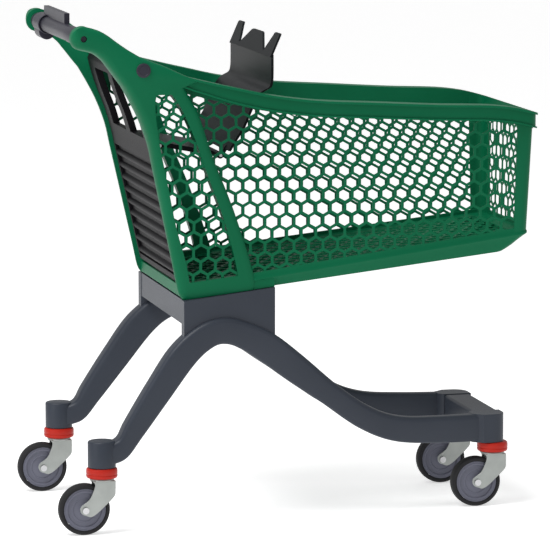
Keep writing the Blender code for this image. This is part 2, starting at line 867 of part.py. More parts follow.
def gate_outline():
    """The gate from the side: eye round the pivot, curved sheet, ribs on its lower half."""
    rear = [(x, z) for x, z in reversed(GATE_REAR)]
    knots = [(z, x) for x, z in rear]
    points = [(lerp(knots, 0.4780) + 0.0140, 0.4780), (lerp(knots, 0.4780), 0.4780)]
    z = 0.4900
    while z < 0.7100:
        for dz, depth in (
            (0.0, RIB_DEPTH),
            (RIB_PITCH - RIB_HEIGHT - 0.002, RIB_DEPTH),
            (RIB_PITCH - RIB_HEIGHT, 0.0),
            (RIB_PITCH - 0.002, 0.0),
        ):
            if dz == 0.0:
                points.append((lerp(knots, z - 0.0001), z - 0.0001))
            points.append((lerp(knots, z + dz) + depth, z + dz))
        z += RIB_PITCH
    points.append((lerp(knots, 0.7180), 0.7180))
    for level in (0.7430, 0.7850, 0.8240, 0.8580, 0.8830):
        points.append((lerp(knots, level), level))
    cx, cz = PIVOT
    for i in range(10):
        angle = math.radians(190.0 - 25.0 * i)
        points.append((cx + GATE_EYE * math.cos(angle), cz + GATE_EYE * math.sin(angle)))
    for level in (0.8680, 0.8400, 0.8000, 0.7430, 0.7050, 0.6060, 0.5070):
        points.append((lerp(knots, level) + 0.0140, level))
    return points


def gate(look):
    pivot = (PIVOT[0], 0.0, PIVOT[1])
    made = slab(
        "rear_gate",
        gate_outline(),
        lambda x, z: -gate_half(x, z),
        lambda x, z: gate_half(x, z),
        look,
        pivot,
    )
    lugs = []
    rx, rz = SEAT_REAR
    for side in (-1, 1):
        y0, y1 = sorted((side * LUG_INNER, side * LUG_OUTER))
        low, high = rz - EYE_RADIUS + 0.0006, rz + EYE_RADIUS - 0.0006
        lugs.append(box("lug", 0.1500, rx + 0.0010, y0 + 0.0004, y1 - 0.0004, low, high))
        lugs.append(cylinder("eye", (rx, 0.0, rz), EYE_RADIUS, y0, y1, "y", None, 16))
    join(made, *lugs)
    y0, y1, z0, z1 = LEG_HOLE
    holes = [box("leg", 0.05, 0.20, *sorted((side * y0, side * y1)), z0, z1) for side in (-1, 1)]
    for side in (-1, 1):
        spans = sorted((side * 0.160, side * 0.240))
        holes.append(cylinder("pin", pivot, PIVOT_RADIUS + GAP, *spans, "y", None, 16))
    holes.append(cylinder("rod", (rx, 0.0, rz), ROD_RADIUS + GAP, -0.16, 0.16, "y", None, 12))
    return smooth(cut(made, *holes), 30.0)


def gate_pins(look):
    """Push-in pivot pins with the round caps seen on both shoulders."""
    outer = shoulder_half(PIVOT[0] - 0.0140, PIVOT[1])
    for side, name in ((-1, "right_gate_pin"), (1, "left_gate_pin")):
        profile = [
            (0, side * 0.1640),
            (PIVOT_RADIUS, side * 0.1640),
            (PIVOT_RADIUS, side * (outer + GAP)),
            (0.0138, side * (outer + GAP)),
            (0.0138, side * (outer + 0.0012)),
            (0.0120, side * (outer + 0.0028)),
            (0, side * (outer + 0.0028)),
        ]
        smooth(turned(name, profile, (PIVOT[0], 0.0, PIVOT[1]), "y", look, 24))


# --- child seat ------------------------------------------------------------------------


def seat_plate(look):
    """Seat board with a rolled eye along its rear and front edges."""
    rx, rz = SEAT_REAR
    fx, fz = SEAT_FRONT
    outline = [
        (rx, rz - 0.0035),
        (fx, fz - 0.0035),
        (fx, fz + 0.0035),
        (fx - 0.010, fz + 0.0080),
        (rx + 0.014, rz + 0.0035),
        (rx, rz + 0.0035),
    ]
    half = SEAT_HALF
    made = slab("seat_plate", outline, flat(-half), flat(half), look, (rx, 0.0, rz))
    rear = cylinder("rear", (rx, 0.0, rz), EYE_RADIUS, -half + 0.0001, half - 0.0001, "y", None, 16)
    front = cylinder("front", (fx, 0.0, fz), EYE_RADIUS, -half + 0.0001, half - 0.0001, "y", None, 16)
    join(made, rear, front)
    holes = []
    for x, z in (SEAT_REAR, SEAT_FRONT):
        holes.append(cylinder("bore", (x, 0.0, z), ROD_RADIUS + GAP, -0.14, 0.14, "y", None, 12))
    return smooth(cut(made, *holes), 30.0)


def seat_back(look):
    """Curved back rest with two forward-leaning bag prongs and a hump between them."""
    fx, fz = SEAT_FRONT
    sheet = BACK_SHEET
    curve = list(SEAT_BACK)
    outline = curve + [(x + sheet, z - 0.001) for x, z in reversed(curve)]
    half = BACK_HALF
    made = slab("seat_back", outline, flat(-half), flat(half), look, (fx, 0.0, fz))
    tx, tz = PRONG_LEAN
    bx, bz = SEAT_BACK[-1]

    def leaning(z):
        return bx + (tx - bx) * (z - bz) / (tz - bz)

    crest = [
        (half, bz - 0.006),
        (half, tz - 0.004),
        (half - 0.004, tz),
        (PRONG_INNER + 0.012, tz),
        (PRONG_INNER + 0.006, tz - 0.006),
        (NOTCH, bz + 0.002),
        (HUMP_HALF, HUMP_TOP),
    ]
    crest += [(-y, z) for y, z in reversed(crest)]
    rear = [(leaning(z), y, z) for y, z in crest]
    front = [(leaning(z) + sheet - 0.0004, y, z) for y, z in crest]
    top = loft("crest", [rear, front], None)
    lugs = []
    for side in (-1, 1):
        y0, y1 = sorted((side * LUG_INNER, side * LUG_OUTER))
        lugs.append(cylinder("eye", (fx, 0.0, fz), EYE_RADIUS, y0, y1, "y", None, 16))
        arm = [(fx - 0.004, fz + 0.004), (fx + 0.005, fz - 0.002), (0.3080, 0.7360), (0.3010, 0.7380)]
        lugs.append(slab("arm", arm, flat(y0 + 0.0002), flat(y1 - 0.0002), None))
    join(made, top, *lugs)
    bore = cylinder("bore", (fx, 0.0, fz), ROD_RADIUS + GAP, -0.16, 0.16, "y", None, 12)
    return smooth(cut(made, bore), 30.0)


def seat_rods(look):
    for name, (x, z) in (("seat_rear_rod", SEAT_REAR), ("seat_front_rod", SEAT_FRONT)):
        smooth(cylinder(name, (x, 0.0, z), ROD_RADIUS, -0.1450, 0.1450, "y", look, 12))


# --- handle ----------------------------------------------------------------------------


def handle(look):
    cx, cz = ARM_CENTRE
    half = rim_half(BAR_RADIUS) - shoulder_depth(cz) - GAP
    bore = BOLT_RADIUS + GAP
    profile = [
        (0, -half + 0.030),
        (bore, -half + 0.030),
        (bore, -half),
        (BAR_RADIUS - 0.001, -half),
        (BAR_RADIUS, -half + 0.001),
        (BAR_RADIUS, half - 0.001),
        (BAR_RADIUS - 0.001, half),
        (bore, half),
        (bore, half - 0.030),
        (0, half - 0.030),
    ]
    return smooth(turned("handle_bar", profile, (cx, 0.0, cz), "y", look, 28))


def handle_bolts(look):
    """Bolts through the arm ends; their heads sit deep in the round recesses."""
    cx, cz = ARM_CENTRE
    outer = rim_half(0.0)
    for side, name in ((-1, "right_handle_bolt"), (1, "left_handle_bolt")):
        end = side * (outer - 0.0500)
        profile = [
            (0, end),
            (BOLT_RADIUS, end),
            (BOLT_RADIUS, side * (outer - RECESS_DEPTH + GAP)),
            (0.0056, side * (outer - RECESS_DEPTH + GAP)),
            (0.0056, side * (outer - 0.0040)),
            (0, side * (outer - 0.0040)),
        ]
        smooth(turned(name, profile, (cx, 0.0, cz), "y", look, 12))


def coin_lock(look):
    """Ridge along the top of the bar, a collar round it and the lock barrel under it."""
    x0, x1, y0, y1, z0, z1 = LOCK_SLAB
    made = box("lock_housing", x0, x1, y0, y1, z0, z1, look)
    dx, dz, radius, d0, d1 = LOCK_LOBE
    bar = (ARM_CENTRE[0], 0.0, ARM_CENTRE[1])
    lobe = cylinder("lobe", (dx, 0.0, dz), radius, d0, d1, "y", None, 24)
    collar = cylinder("collar", bar, BAR_RADIUS + 0.0030, d0 - 0.010, d1 + 0.005, "y", None, 24)
    join(made, collar, lobe)
    cut(made, cylinder("bar", bar, BAR_RADIUS + GAP, -0.25, 0.25, "y", None, 28))
    return smooth(made, 30.0)


def build():
    for old in list(bpy.data.objects):
        bpy.data.objects.remove(old, do_unlink=True)
    green = material("green_plastic", GREEN, 0.42)
    chassis = material("anthracite_plastic", ANTHRACITE, 0.50)
    slate = material("slate_plastic", SLATE, 0.45)
    dark = material("dark_plastic", DARK_PLASTIC, 0.50)
    looks = {
        "tyre": material("black_rubber", (0.010, 0.010, 0.011), 0.70),
        "hub": material("grey_hub", (0.170, 0.175, 0.230), 0.45),
        "zinc": material("zinc_plate", (0.480, 0.500, 0.480), 0.35, 1.0),
        "steel": material("bright_steel", (0.550, 0.550, 0.550), 0.30, 1.0),
        "red": material("red_plastic", (0.560, 0.030, 0.015), 0.40),
    }
    for name, side in (("right", -1), ("left", 1)):
        caster(f"{name}_rear", 0.0, side * REAR_TRACK_HALF, looks)
        caster(f"{name}_front", WHEELBASE, side * FRONT_TRACK_HALF, looks)
        side_frame(f"{name}_side_frame", side, chassis)
    saddle_beam(chassis)
    front_bar(chassis)
    basket(green)
    basket_screws(looks["steel"])
    gate(dark)
    gate_pins(slate)
    seat_plate(slate)
    seat_back(slate)
    seat_rods(looks["steel"])
    handle(slate)
    handle_bolts(looks["steel"])
    coin_lock(slate)


build()
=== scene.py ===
# %% [markdown]
# A plastic supermarket cart: a green basket whose walls are a mesh of hexagons, on an anthracite
# chassis with four swivel casters. The mechanical frame is loaded first. It fixes where every
# piece is, so this file only has to make each piece look like what it is.

# %% Load the frame
import json
import math

import bmesh
import bpy
import numpy as np
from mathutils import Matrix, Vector


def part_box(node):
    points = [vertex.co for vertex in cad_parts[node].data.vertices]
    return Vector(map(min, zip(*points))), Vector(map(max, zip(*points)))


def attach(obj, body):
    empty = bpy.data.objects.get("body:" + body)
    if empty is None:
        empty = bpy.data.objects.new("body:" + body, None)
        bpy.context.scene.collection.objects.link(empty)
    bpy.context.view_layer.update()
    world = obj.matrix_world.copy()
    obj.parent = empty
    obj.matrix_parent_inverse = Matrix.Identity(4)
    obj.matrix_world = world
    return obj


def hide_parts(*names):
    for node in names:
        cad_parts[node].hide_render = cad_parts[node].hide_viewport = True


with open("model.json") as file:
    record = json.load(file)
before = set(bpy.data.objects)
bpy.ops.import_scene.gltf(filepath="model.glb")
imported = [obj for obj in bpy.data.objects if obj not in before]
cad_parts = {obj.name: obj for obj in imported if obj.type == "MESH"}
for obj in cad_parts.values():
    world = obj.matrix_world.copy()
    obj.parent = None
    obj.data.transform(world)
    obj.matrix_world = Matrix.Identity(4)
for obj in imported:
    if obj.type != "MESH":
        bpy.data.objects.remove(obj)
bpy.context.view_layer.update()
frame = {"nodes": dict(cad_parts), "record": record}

# %% [markdown]
# Every moulding of a cart is drawn from a few stations along its length. Here x is measured from
# the rear wheels, as the frame has them, and the straight tapers of the basket are one line each:
# a cart narrows to the front so that the next one can be pushed into it.

# %% Stations and tapers
def middle_of(node):
    """Middle of a frame node's box, as the frame has it."""
    low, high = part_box(node)
    return np.array([(a + b) / 2 for a, b in zip(low, high)])


def centre_of(node):
    """The same with x measured from the rear wheels."""
    return middle_of(node) - [AXLE_X, 0, 0]


AXLE_X = float(middle_of("right_rear_tyre")[0])
REAR_TRACK = float(-centre_of("right_rear_tyre")[1])
FRONT_AXLE = float(centre_of("right_front_tyre")[0])
FRONT_TRACK = float(-centre_of("right_front_tyre")[1])
TRAIL = float(centre_of("right_rear_ring")[0])
print("wheelbase", round(FRONT_AXLE, 4), "trail", round(TRAIL, 4))


def rim_half(x):
    """Half width over the rim's edges."""
    return 0.2585 - 0.0648 * x


def base_half(x):
    """Half width at the foot of the walls."""
    return 0.2064 - 0.0794 * (x - 0.2036)


def frame_half(x):
    """Distance of a side frame's middle from the cart's middle."""
    return REAR_TRACK - 0.1225 * (x - TRAIL)


def ledge_z(x):
    """Height of the ledge that runs round the foot of the walls."""
    return 0.4880 + 0.1220 * (x - 0.3870)


def bottom_z(x):
    """Height of the skirt's lower edge."""
    return 0.4467 + 0.1000 * (x - 0.2077)


# %% [markdown]
# A curve through measured stations looks moulded only if its slope is continuous. A Catmull-Rom
# spline does that: between two knots it is the cubic whose slope at each knot is half the step
# from the knot before to the knot after.

# %% Smooth runs, grids and closed shapes
EYE_BORE, EYE_RADIUS = 0.0034, 0.0065


def smooth_run(knots, steps):
    """Catmull-Rom: point = ((2b) + t(c-a) + t2(2a-5b+4c-d) + t3(3b-a-3c+d)) / 2 for knots a b c d."""
    k = np.asarray(knots, float)
    padded = np.concatenate([k[:1], k, k[-1:]])
    a, b, c, d = (padded[i : len(k) - 1 + i, None] for i in range(4))
    t = (np.arange(steps) / steps)[None, :, None]
    run = 0.5 * (2 * b + t * (c - a + t * (2 * a - 5 * b + 4 * c - d + t * (3 * b - a - 3 * c + d))))
    return np.concatenate([run.reshape(-1, k.shape[1]), k[-1:]])


def grid_quads(rows, cols):
    """Faces of a grid whose columns close on themselves: (i, j) with (i, j+1) and (i+1, j)."""
    i = np.arange(rows - 1)[:, None] * cols
    j = np.arange(cols)[None, :]
    k = (j + 1) % cols
    return np.stack([i + j, i + k, i + cols + k, i + cols + j], -1).reshape(-1, 4).tolist()


def loft(rings, closed=False):
    """Skin over rings[i, j] = point j of section i; capped at both ends, or closed on itself."""
    rings = np.asarray(rings, float)
    if closed:
        rings = np.concatenate([rings, rings[:1]])
    rows, cols = rings.shape[:2]
    faces = grid_quads(rows, cols)
    if not closed:
        faces += [list(range(cols))[::-1], list(range((rows - 1) * cols, rows * cols))]
    return rings.reshape(-1, 3), faces


def turned(profile, centre, axis, steps=48):
    """point = centre + radius * (cos a, sin a) across the axis + height along it, a = 0 to 2 pi.

    A profile that ends on the axis at both ends is closed by flat caps, any other is a loop."""
    profile = np.asarray(profile, float)
    solid = profile[0, 0] < 1e-9
    profile = profile[1:-1] if solid else profile
    angle = np.linspace(0, 2 * math.pi, steps, endpoint=False)[:, None]
    radius, height = profile[:, 0][None, :], profile[:, 1][None, :]
    across, up = radius * np.cos(angle), radius * np.sin(angle)
    along = height + 0 * angle
    order = {"z": (across, up, along), "y": (across, along, up)}[axis]
    points = np.stack(order, -1) + np.asarray(centre)
    return loft(np.swapaxes(points, 0, 1)) if solid else loft(points, closed=True)


def eye(centre, near, far):
    """The ring that a rod turns in, from y = near to y = far."""
    return turned([(EYE_BORE, near), (EYE_RADIUS, near), (EYE_RADIUS, far), (EYE_BORE, far)], centre, "y", 32)


def slab(outline, near, far):
    """A plate with a side-view outline (x, z), between y = near(x, z) and y = far(x, z)."""
    x, z = np.asarray(outline, float).T
    return loft([np.stack([x, y + 0 * x, z], 1) for y in (near(x, z), far(x, z))])


def block(low, high):
    """A plain box between two corners."""
    (x0, y0, z0), (x1, y1, z1) = low, high
    ring = np.array([(x0, y0), (x1, y0), (x1, y1), (x0, y1)])
    return loft([np.column_stack([ring, np.full(4, z)]) for z in (z0, z1)])


def together(*pieces):
    """One piece out of several closed shapes."""
    points, faces, start = [], [], 0
    for piece_points, piece_faces in pieces:
        points.append(piece_points)
        faces += [[start + i for i in face] for face in piece_faces]
        start += len(piece_points)
    return np.concatenate(points), faces


# %% [markdown]
# Moulded plastic has a fine spark-eroded grain that breaks up reflections, and its colour drifts
# a little with the flow of the melt. Both are noises in the piece's own coordinates, shared by all
# materials as one node group, so each material only chooses its colour and how coarse it is.

# %% Grain node group
def make_grain():
    group = bpy.data.node_groups.new("surface_grain", "ShaderNodeTree")
    face = group.interface
    for name, value in (("Drift Scale", 6.0), ("Grain Scale", 1500.0), ("Grain Strength", 0.1)):
        face.new_socket(name, in_out="INPUT", socket_type="NodeSocketFloat").default_value = value
    for name, kind in (("Drift", "Float"), ("Fleck", "Float"), ("Normal", "Vector")):
        face.new_socket(name, in_out="OUTPUT", socket_type="NodeSocket" + kind)
    nodes, links = group.nodes, group.links
    given, out = nodes.new("NodeGroupInput"), nodes.new("NodeGroupOutput")
    place = nodes.new("ShaderNodeTexCoord")
    drift, fleck = nodes.new("ShaderNodeTexNoise"), nodes.new("ShaderNodeTexNoise")
    bump = nodes.new("ShaderNodeBump")
    bump.inputs["Distance"].default_value = 0.0004
    drift.inputs["Detail"].default_value = 3.0
    fleck.inputs["Detail"].default_value = 2.0
    for noise, scale in ((drift, "Drift Scale"), (fleck, "Grain Scale")):
        links.new(place.outputs["Object"], noise.inputs["Vector"])
        links.new(given.outputs[scale], noise.inputs["Scale"])
    links.new(fleck.outputs["Fac"], bump.inputs["Height"])
    links.new(given.outputs["Grain Strength"], bump.inputs["Strength"])
    links.new(drift.outputs["Fac"], out.inputs["Drift"])
    links.new(fleck.outputs["Fac"], out.inputs["Fleck"])
    links.new(bump.outputs["Normal"], out.inputs["Normal"])
    return group


GRAIN = make_grain()
print("grain group", len(GRAIN.nodes), "nodes")

# %% [markdown]
# Ten finishes are enough for a cart. The greens and greys are dyed plastics, dull and only a
# little darker or lighter from place to place; the seat's grey is darker than its own tone, with
# painted shade for where it stands inside the basket. The steel parts are zinc plated or bright.

# %% Finishes
def finish(name, dark, light, rough, metallic=0.0, drift=6.0, grain=1500.0, strength=0.10, shine=0.22):
    """Colour runs from dark to light with the drift; roughness is rough +- 0.06 with the grain."""
    made = bpy.data.materials.new(name)
    made.use_nodes = True
    nodes, links = made.node_tree.nodes, made.node_tree.links
    shader = nodes["Principled BSDF"]
    shared = nodes.new("ShaderNodeGroup")
    shared.node_tree = GRAIN
    shared.inputs["Drift Scale"].default_value = drift
    shared.inputs["Grain Scale"].default_value = grain
    shared.inputs["Grain Strength"].default_value = strength
    blend = nodes.new("ShaderNodeMix")
    blend.data_type = "RGBA"
    blend.inputs["A"].default_value = (*dark, 1.0)
    blend.inputs["B"].default_value = (*light, 1.0)
    spread = nodes.new("ShaderNodeMapRange")
    ends = (("From Min", 0.3), ("From Max", 0.7), ("To Min", rough - 0.06), ("To Max", rough + 0.06))
    for socket, value in ends:
        spread.inputs[socket].default_value = value
    links.new(shared.outputs["Drift"], blend.inputs["Factor"])
    links.new(blend.outputs["Result"], shader.inputs["Base Color"])
    links.new(shared.outputs["Fleck"], spread.inputs["Value"])
    links.new(spread.outputs["Result"], shader.inputs["Roughness"])
    links.new(shared.outputs["Normal"], shader.inputs["Normal"])
    shader.inputs["Metallic"].default_value = metallic
    shader.inputs["Specular IOR Level"].default_value = shine
    return made


LOOKS = {
    "basket": finish(
        "green_moulding", (0.001, 0.098, 0.039), (0.003, 0.128, 0.056),
        0.42, shine=0.09,
    ),
    "chassis": finish(
        "anthracite_moulding", (0.024, 0.029, 0.040), (0.038, 0.045, 0.060),
        0.40, strength=0.20,
    ),
    "slate": finish(
        "slate_moulding", (0.019, 0.0185, 0.027), (0.029, 0.028, 0.040),
        0.36, shine=0.18,
    ),
    "gate": finish("gate_moulding", (0.005, 0.005, 0.006), (0.010, 0.009, 0.011), 0.50, shine=0.07),
    # The seat's own dark grey is darkened further: painted shade for the shadow that falls on it inside the
    # basket.
    "seat": finish("seat_moulding_painted_shade", (0.004, 0.005, 0.006), (0.008, 0.010, 0.011), 0.40, shine=0.07),
    "tyre": finish("black_rubber", (0.012, 0.012, 0.013), (0.020, 0.020, 0.022), 0.72, grain=900.0),
    "hub": finish("grey_wheel_centre", (0.105, 0.108, 0.142), (0.135, 0.139, 0.178), 0.42),
    "ring": finish("red_ring", (0.370, 0.014, 0.008), (0.430, 0.022, 0.012), 0.36, shine=0.16),
    "zinc": finish(
        "zinc_plate", (0.280, 0.298, 0.286), (0.390, 0.408, 0.392),
        0.42, 0.75, drift=40.0, shine=0.5,
    ),
    "steel": finish(
        "bright_steel", (0.480, 0.480, 0.490), (0.560, 0.560, 0.570),
        0.30, 1.0, drift=60.0, shine=0.5,
    ),
}
print(len(LOOKS), "finishes")

# %% [markdown]
# The nodes that are kept as they come get these finishes too: bolts, nuts, rods and the channel
# between the saddles are already the right shape.

# %% Dress the frame's own nodes
for row in frame["record"]["subparts"]:
    carried = frame["nodes"][row["node"]]
    carried.data.materials.clear()
    carried.data.materials.append(LOOKS[row["material_slot"]])
print(len(frame["nodes"]), "nodes dressed")

# %% [markdown]
# No moulding has a razor edge. Each new piece is a closed shape whose edges are then rounded with
# a Bevel, and whose flat faces keep flat shading because the bevel hardens their normals.

# %% From points to a piece
def placed_object(name, piece):
    """A closed shape as an object of the scene, x moved to the frame's origin, normals outward."""
    points, faces = piece
    mesh = bpy.data.meshes.new(name)
    mesh.from_pydata((points + [AXLE_X, 0, 0]).tolist(), [], faces)
    work = bmesh.new()
    work.from_mesh(mesh)
    bmesh.ops.remove_doubles(work, verts=work.verts, dist=1e-6)
    bmesh.ops.recalc_face_normals(work, faces=work.faces)
    work.to_mesh(mesh)
    work.free()
    made = bpy.data.objects.new(name, mesh)
    bpy.context.scene.collection.objects.link(made)
    return made


def make(name, piece, slot, body, replaces=(), edge=0.0, sharp=35.0, segments=2):
    return dress(placed_object(name, piece), slot, body, replaces, edge, sharp, segments)


def dress(made, slot, body, replaces=(), edge=0.0, sharp=35.0, segments=2):
    """Finish, rounded edges and the frame body that the piece moves with."""
    made.data.materials.clear()
    made.data.materials.append(LOOKS[slot])
    made.data.shade_smooth()
    if edge:
        step = made.modifiers.new("edges", "BEVEL")
        step.width, step.segments = edge, segments
        step.limit_method, step.angle_limit = "ANGLE", math.radians(sharp)
        step.harden_normals = True
    else:
        made.data.set_sharp_from_angle(angle=math.radians(sharp))
    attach(made, body)
    if replaces:
        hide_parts(*replaces)
    return made


def carve(target, *cutters):
    """Subtracts closed shapes from an object's mesh. Its edges are rounded after the last cut."""
    waiting = list(target.modifiers)
    for step in waiting:
        step.show_viewport = False
    for piece in cutters:
        tool = placed_object("cutter", piece)
        cut = target.modifiers.new("cut", "BOOLEAN")
        cut.object, cut.solver = tool, "EXACT"
        graph = bpy.context.evaluated_depsgraph_get()
        target.data = bpy.data.meshes.new_from_object(target.evaluated_get(graph))
        target.modifiers.remove(cut)
        bpy.data.objects.remove(tool, do_unlink=True)
    for step in waiting:
        step.show_viewport = True


# %% [markdown]
# The basket's plan is a long U: two straight, tapering sides and a front, with round corners. A
# line round it at any level is a half width, a foremost point, a corner radius and a height, and
# the mouldings that run round the basket are lofts over such lines.

# %% Lines round the basket
RIM_KNOTS = (
    (0.1600, 0.9020), (0.2270, 0.8754), (0.3060, 0.8559), (0.3760, 0.8405), (0.4670, 0.8282),
    (0.5880, 0.8208), (0.7110, 0.8133), (0.7940, 0.8103), (0.8350, 0.8077), (0.8770, 0.8016),
    (0.9215, 0.7900),
)
RIM_LINE = smooth_run(RIM_KNOTS, 8)
RIM_FRONT, RIM_DEPTH, OVERHANG = 0.9210, 0.0310, 0.0340
LEDGE_FRONT, WALL_FRONT = 0.9120, 0.9155
SIDE_STEPS, CORNER_STEPS = 56, 8
WALL_RADIUS, BASE_RADIUS = 0.014, 0.020


def rim_top(x):
    """Height of the rim's top flange."""
    return np.interp(x, RIM_LINE[:, 0], RIM_LINE[:, 1])


def wall_top_half(x):
    """The walls stand in from the rim's edge, less so towards the front corners."""
    return rim_half(x) - OVERHANG + 0.010 * np.clip((x - 0.78) / 0.13, 0, 1)


def wall_half(x, z):
    """Outer face of the side walls: straight from the ledge to the rim."""
    low, high = ledge_z(x) + 0.002, rim_top(x) - 0.003
    return base_half(x) + (wall_top_half(x) - base_half(x)) * np.clip((z - low) / (high - low), 0, 1)


def basket_line(half, front, radius, height, start, reach=None):
    """Right side, corner arc (sin a, cos a), then mirrored for the left; or one corner alone."""
    turn = front - radius
    along = np.linspace(start, turn, SIDE_STEPS)
    bend = np.radians(np.linspace(0, 90, CORNER_STEPS + 1)[1:])
    x = np.concatenate([along, turn + radius * np.sin(bend)])
    y = np.concatenate([half(along), half(turn) - radius + radius * np.cos(bend)])
    right = np.stack([x, -y, height(x)], 1)
    if reach is None:
        return np.concatenate([right, (right * [1, -1, 1])[::-1]])
    end = [front, -(half(turn) - reach), float(height(np.array([front]))[0])]
    return np.concatenate([right, [end]])


# %% [markdown]
# The rim is a channel: a flat top flange, a web hanging from it that a hand or a price sign can
# grip, and a small lip at the bottom. It stiffens the open top of the basket and hides the ragged
# top row of the mesh.

# %% Basket rim
RIM_RADIUS, RIM_REAR = 0.024, 0.190


def sunk(x):
    """1 where the rim enters the shoulder moulding, so that it ends inside it."""
    return np.clip((0.235 - x) / 0.045, 0, 1)


def rim_level(x):
    return rim_top(x) - 0.004 * sunk(x)


def web_depth(x):
    """The web gets shallower as it runs into the shoulder."""
    return RIM_DEPTH - 0.008 * np.clip((0.30 - x) / 0.1, 0, 1)


def rim_piece():
    def line(inset, drop, deep=0.0):
        return basket_line(
            lambda x: rim_half(x) - inset - 0.002 * sunk(x), RIM_FRONT - 0.45 * inset, RIM_RADIUS,
            lambda x: rim_level(x) - (drop + deep * web_depth(x)), RIM_REAR,
        )

    def wall(inset, front, drop):
        return basket_line(
            lambda x: wall_top_half(x) - inset, front, WALL_RADIUS, lambda x: rim_level(x) - drop, RIM_REAR
        )

    lines = [
        wall(-0.0005, WALL_FRONT + 0.0005, 0.0340),
        wall(-0.0005, WALL_FRONT + 0.0005, 0.0042),
        line(0.0090, 0.0042), line(0.0090, 0.0, 1), line(0.0020, 0.0, 1), line(0.0020, -0.0032, 1),
        line(0.0060, -0.0032, 1), line(0.0060, 0.0045), line(0.0, 0.0045), line(0.0, 0.0),
        wall(0.0035, WALL_FRONT - 0.0035, 0.0),
        wall(0.0035, WALL_FRONT - 0.0035, 0.0340),
    ]
    return loft(np.swapaxes(np.array(lines), 0, 1))


rim = make("basket_rim", rim_piece(), "basket", "cart", ["basket"], edge=0.0011)
print("rim faces", len(rim.data.polygons))

# %% [markdown]
# Below the walls a skirt curves in to the chassis. A proud ledge runs along its top, the mesh
# stops in a plain band just above the ledge, and inside a plain border runs round the floor.

# %% Skirt, ledge and floor border
BASE_REAR, SADDLE_REAR, SADDLE_FRONT = 0.3400, 0.2003, 0.3862


def base_piece():
    def skirt(rise, thin=0.0):
        return lambda x: bottom_z(x) + rise * (ledge_z(x) - 0.004 - thin - bottom_z(x))

    def line(inset, front, radius, height):
        return basket_line(lambda x: base_half(x) - inset, front, radius, height, BASE_REAR)

    def up(rise):
        return lambda x: ledge_z(x) + rise

    lines = [
        line(0.0140, 0.8660, 0.020, bottom_z),
        line(0.0110, 0.8765, 0.020, skirt(0.18)),
        line(0.0080, 0.8862, 0.020, skirt(0.38)),
        line(0.0050, 0.8950, 0.020, skirt(0.60)),
        line(0.0018, 0.9060, 0.020, skirt(0.84)),
        line(-0.0015, 0.9140, 0.020, up(-0.0040)),
        line(-0.0015, 0.9140, 0.020, up(0.0)),
        line(-0.0004, 0.9124, 0.020, up(0.0022)),
        line(-0.0004, 0.9126, 0.0195, up(0.0110)),
        line(0.0035, 0.9086, 0.0165, up(0.0110)),
        line(0.0035, 0.9086, 0.0165, up(0.0034)),
        line(0.0300, 0.8830, 0.0120, up(0.0022)),
        line(0.0300, 0.8830, 0.0120, up(-0.0022)),
        line(0.0035, 0.9080, 0.0165, up(-0.0050)),
        line(0.0105, 0.8840, 0.018, skirt(0.40, 0.003)),
        line(0.0170, 0.8625, 0.018, bottom_z),
    ]
    return loft(np.swapaxes(np.array(lines), 0, 1))


POST_REAR, POST_REACH = 0.882, 0.040
POST_OUTSIDE, POST_INSIDE = -0.0004, 0.0035


def front_post(side):
    """Plain upright border round a front corner: outer line, and the same 4 mm further in."""
    def low(inset):
        return basket_line(lambda x: base_half(x) - inset, LEDGE_FRONT - inset, BASE_RADIUS,
                           lambda x: ledge_z(x) + 0.002, POST_REAR, POST_REACH)

    def high(inset):
        return basket_line(lambda x: wall_top_half(x) - inset, WALL_FRONT - inset, WALL_RADIUS,
                           lambda x: rim_top(x) - 0.006, POST_REAR, POST_REACH)

    rings = np.array([low(POST_OUTSIDE), high(POST_OUTSIDE), high(POST_INSIDE), low(POST_INSIDE)])
    return loft(np.swapaxes(rings, 0, 1) * [1, -side, 1])


def skirt_pad(side):
    """Flat pad on the skirt just ahead of a shoulder, from the shoulder to the saddle's end."""
    outline = [(BASE_REAR, bottom_z(BASE_REAR)), (SADDLE_FRONT, bottom_z(SADDLE_FRONT)),
               (SADDLE_FRONT, ledge_z(SADDLE_FRONT) - 0.0042), (BASE_REAR, ledge_z(BASE_REAR) - 0.0042)]
    return slab(
        outline, lambda x, z: side * (base_half(x) - 0.020), lambda x, z: side * (base_half(x) - 0.0002)
    )


base = make("basket_base", base_piece(), "basket", "cart", ["basket"], edge=0.0009, sharp=28.0)
for side, word in ((-1, "right"), (1, "left")):
    make(f"basket_front_post_{word}", front_post(side), "basket", "cart", ["basket"], edge=0.0008)
    make(f"basket_skirt_pad_{word}", skirt_pad(side), "basket", "cart", ["basket"], edge=0.0010)
print("base faces", len(base.data.polygons))

# %% [markdown]
# The walls and floor are one honeycomb: hexagonal holes standing on a point, with ribs of even
# width between them. Each cell is only a ring of six quads between its hole and its border, and
# neighbouring rings share their border points. The sheet is made flat, cells are chosen by where
# their middles lie, a straight cut trims it, and then its points are carried on to the wall.
# Solidify gives it thickness and a one-step Bevel breaks the edges of the holes.

# %% Honeycomb sheets
PITCH, RIB = 0.0296, 0.0054
ROW, SHOULDER_ROW = 0.0246, 0.0258
MESH_THICKNESS, FLOOR_THICKNESS = 0.0024, 0.0058


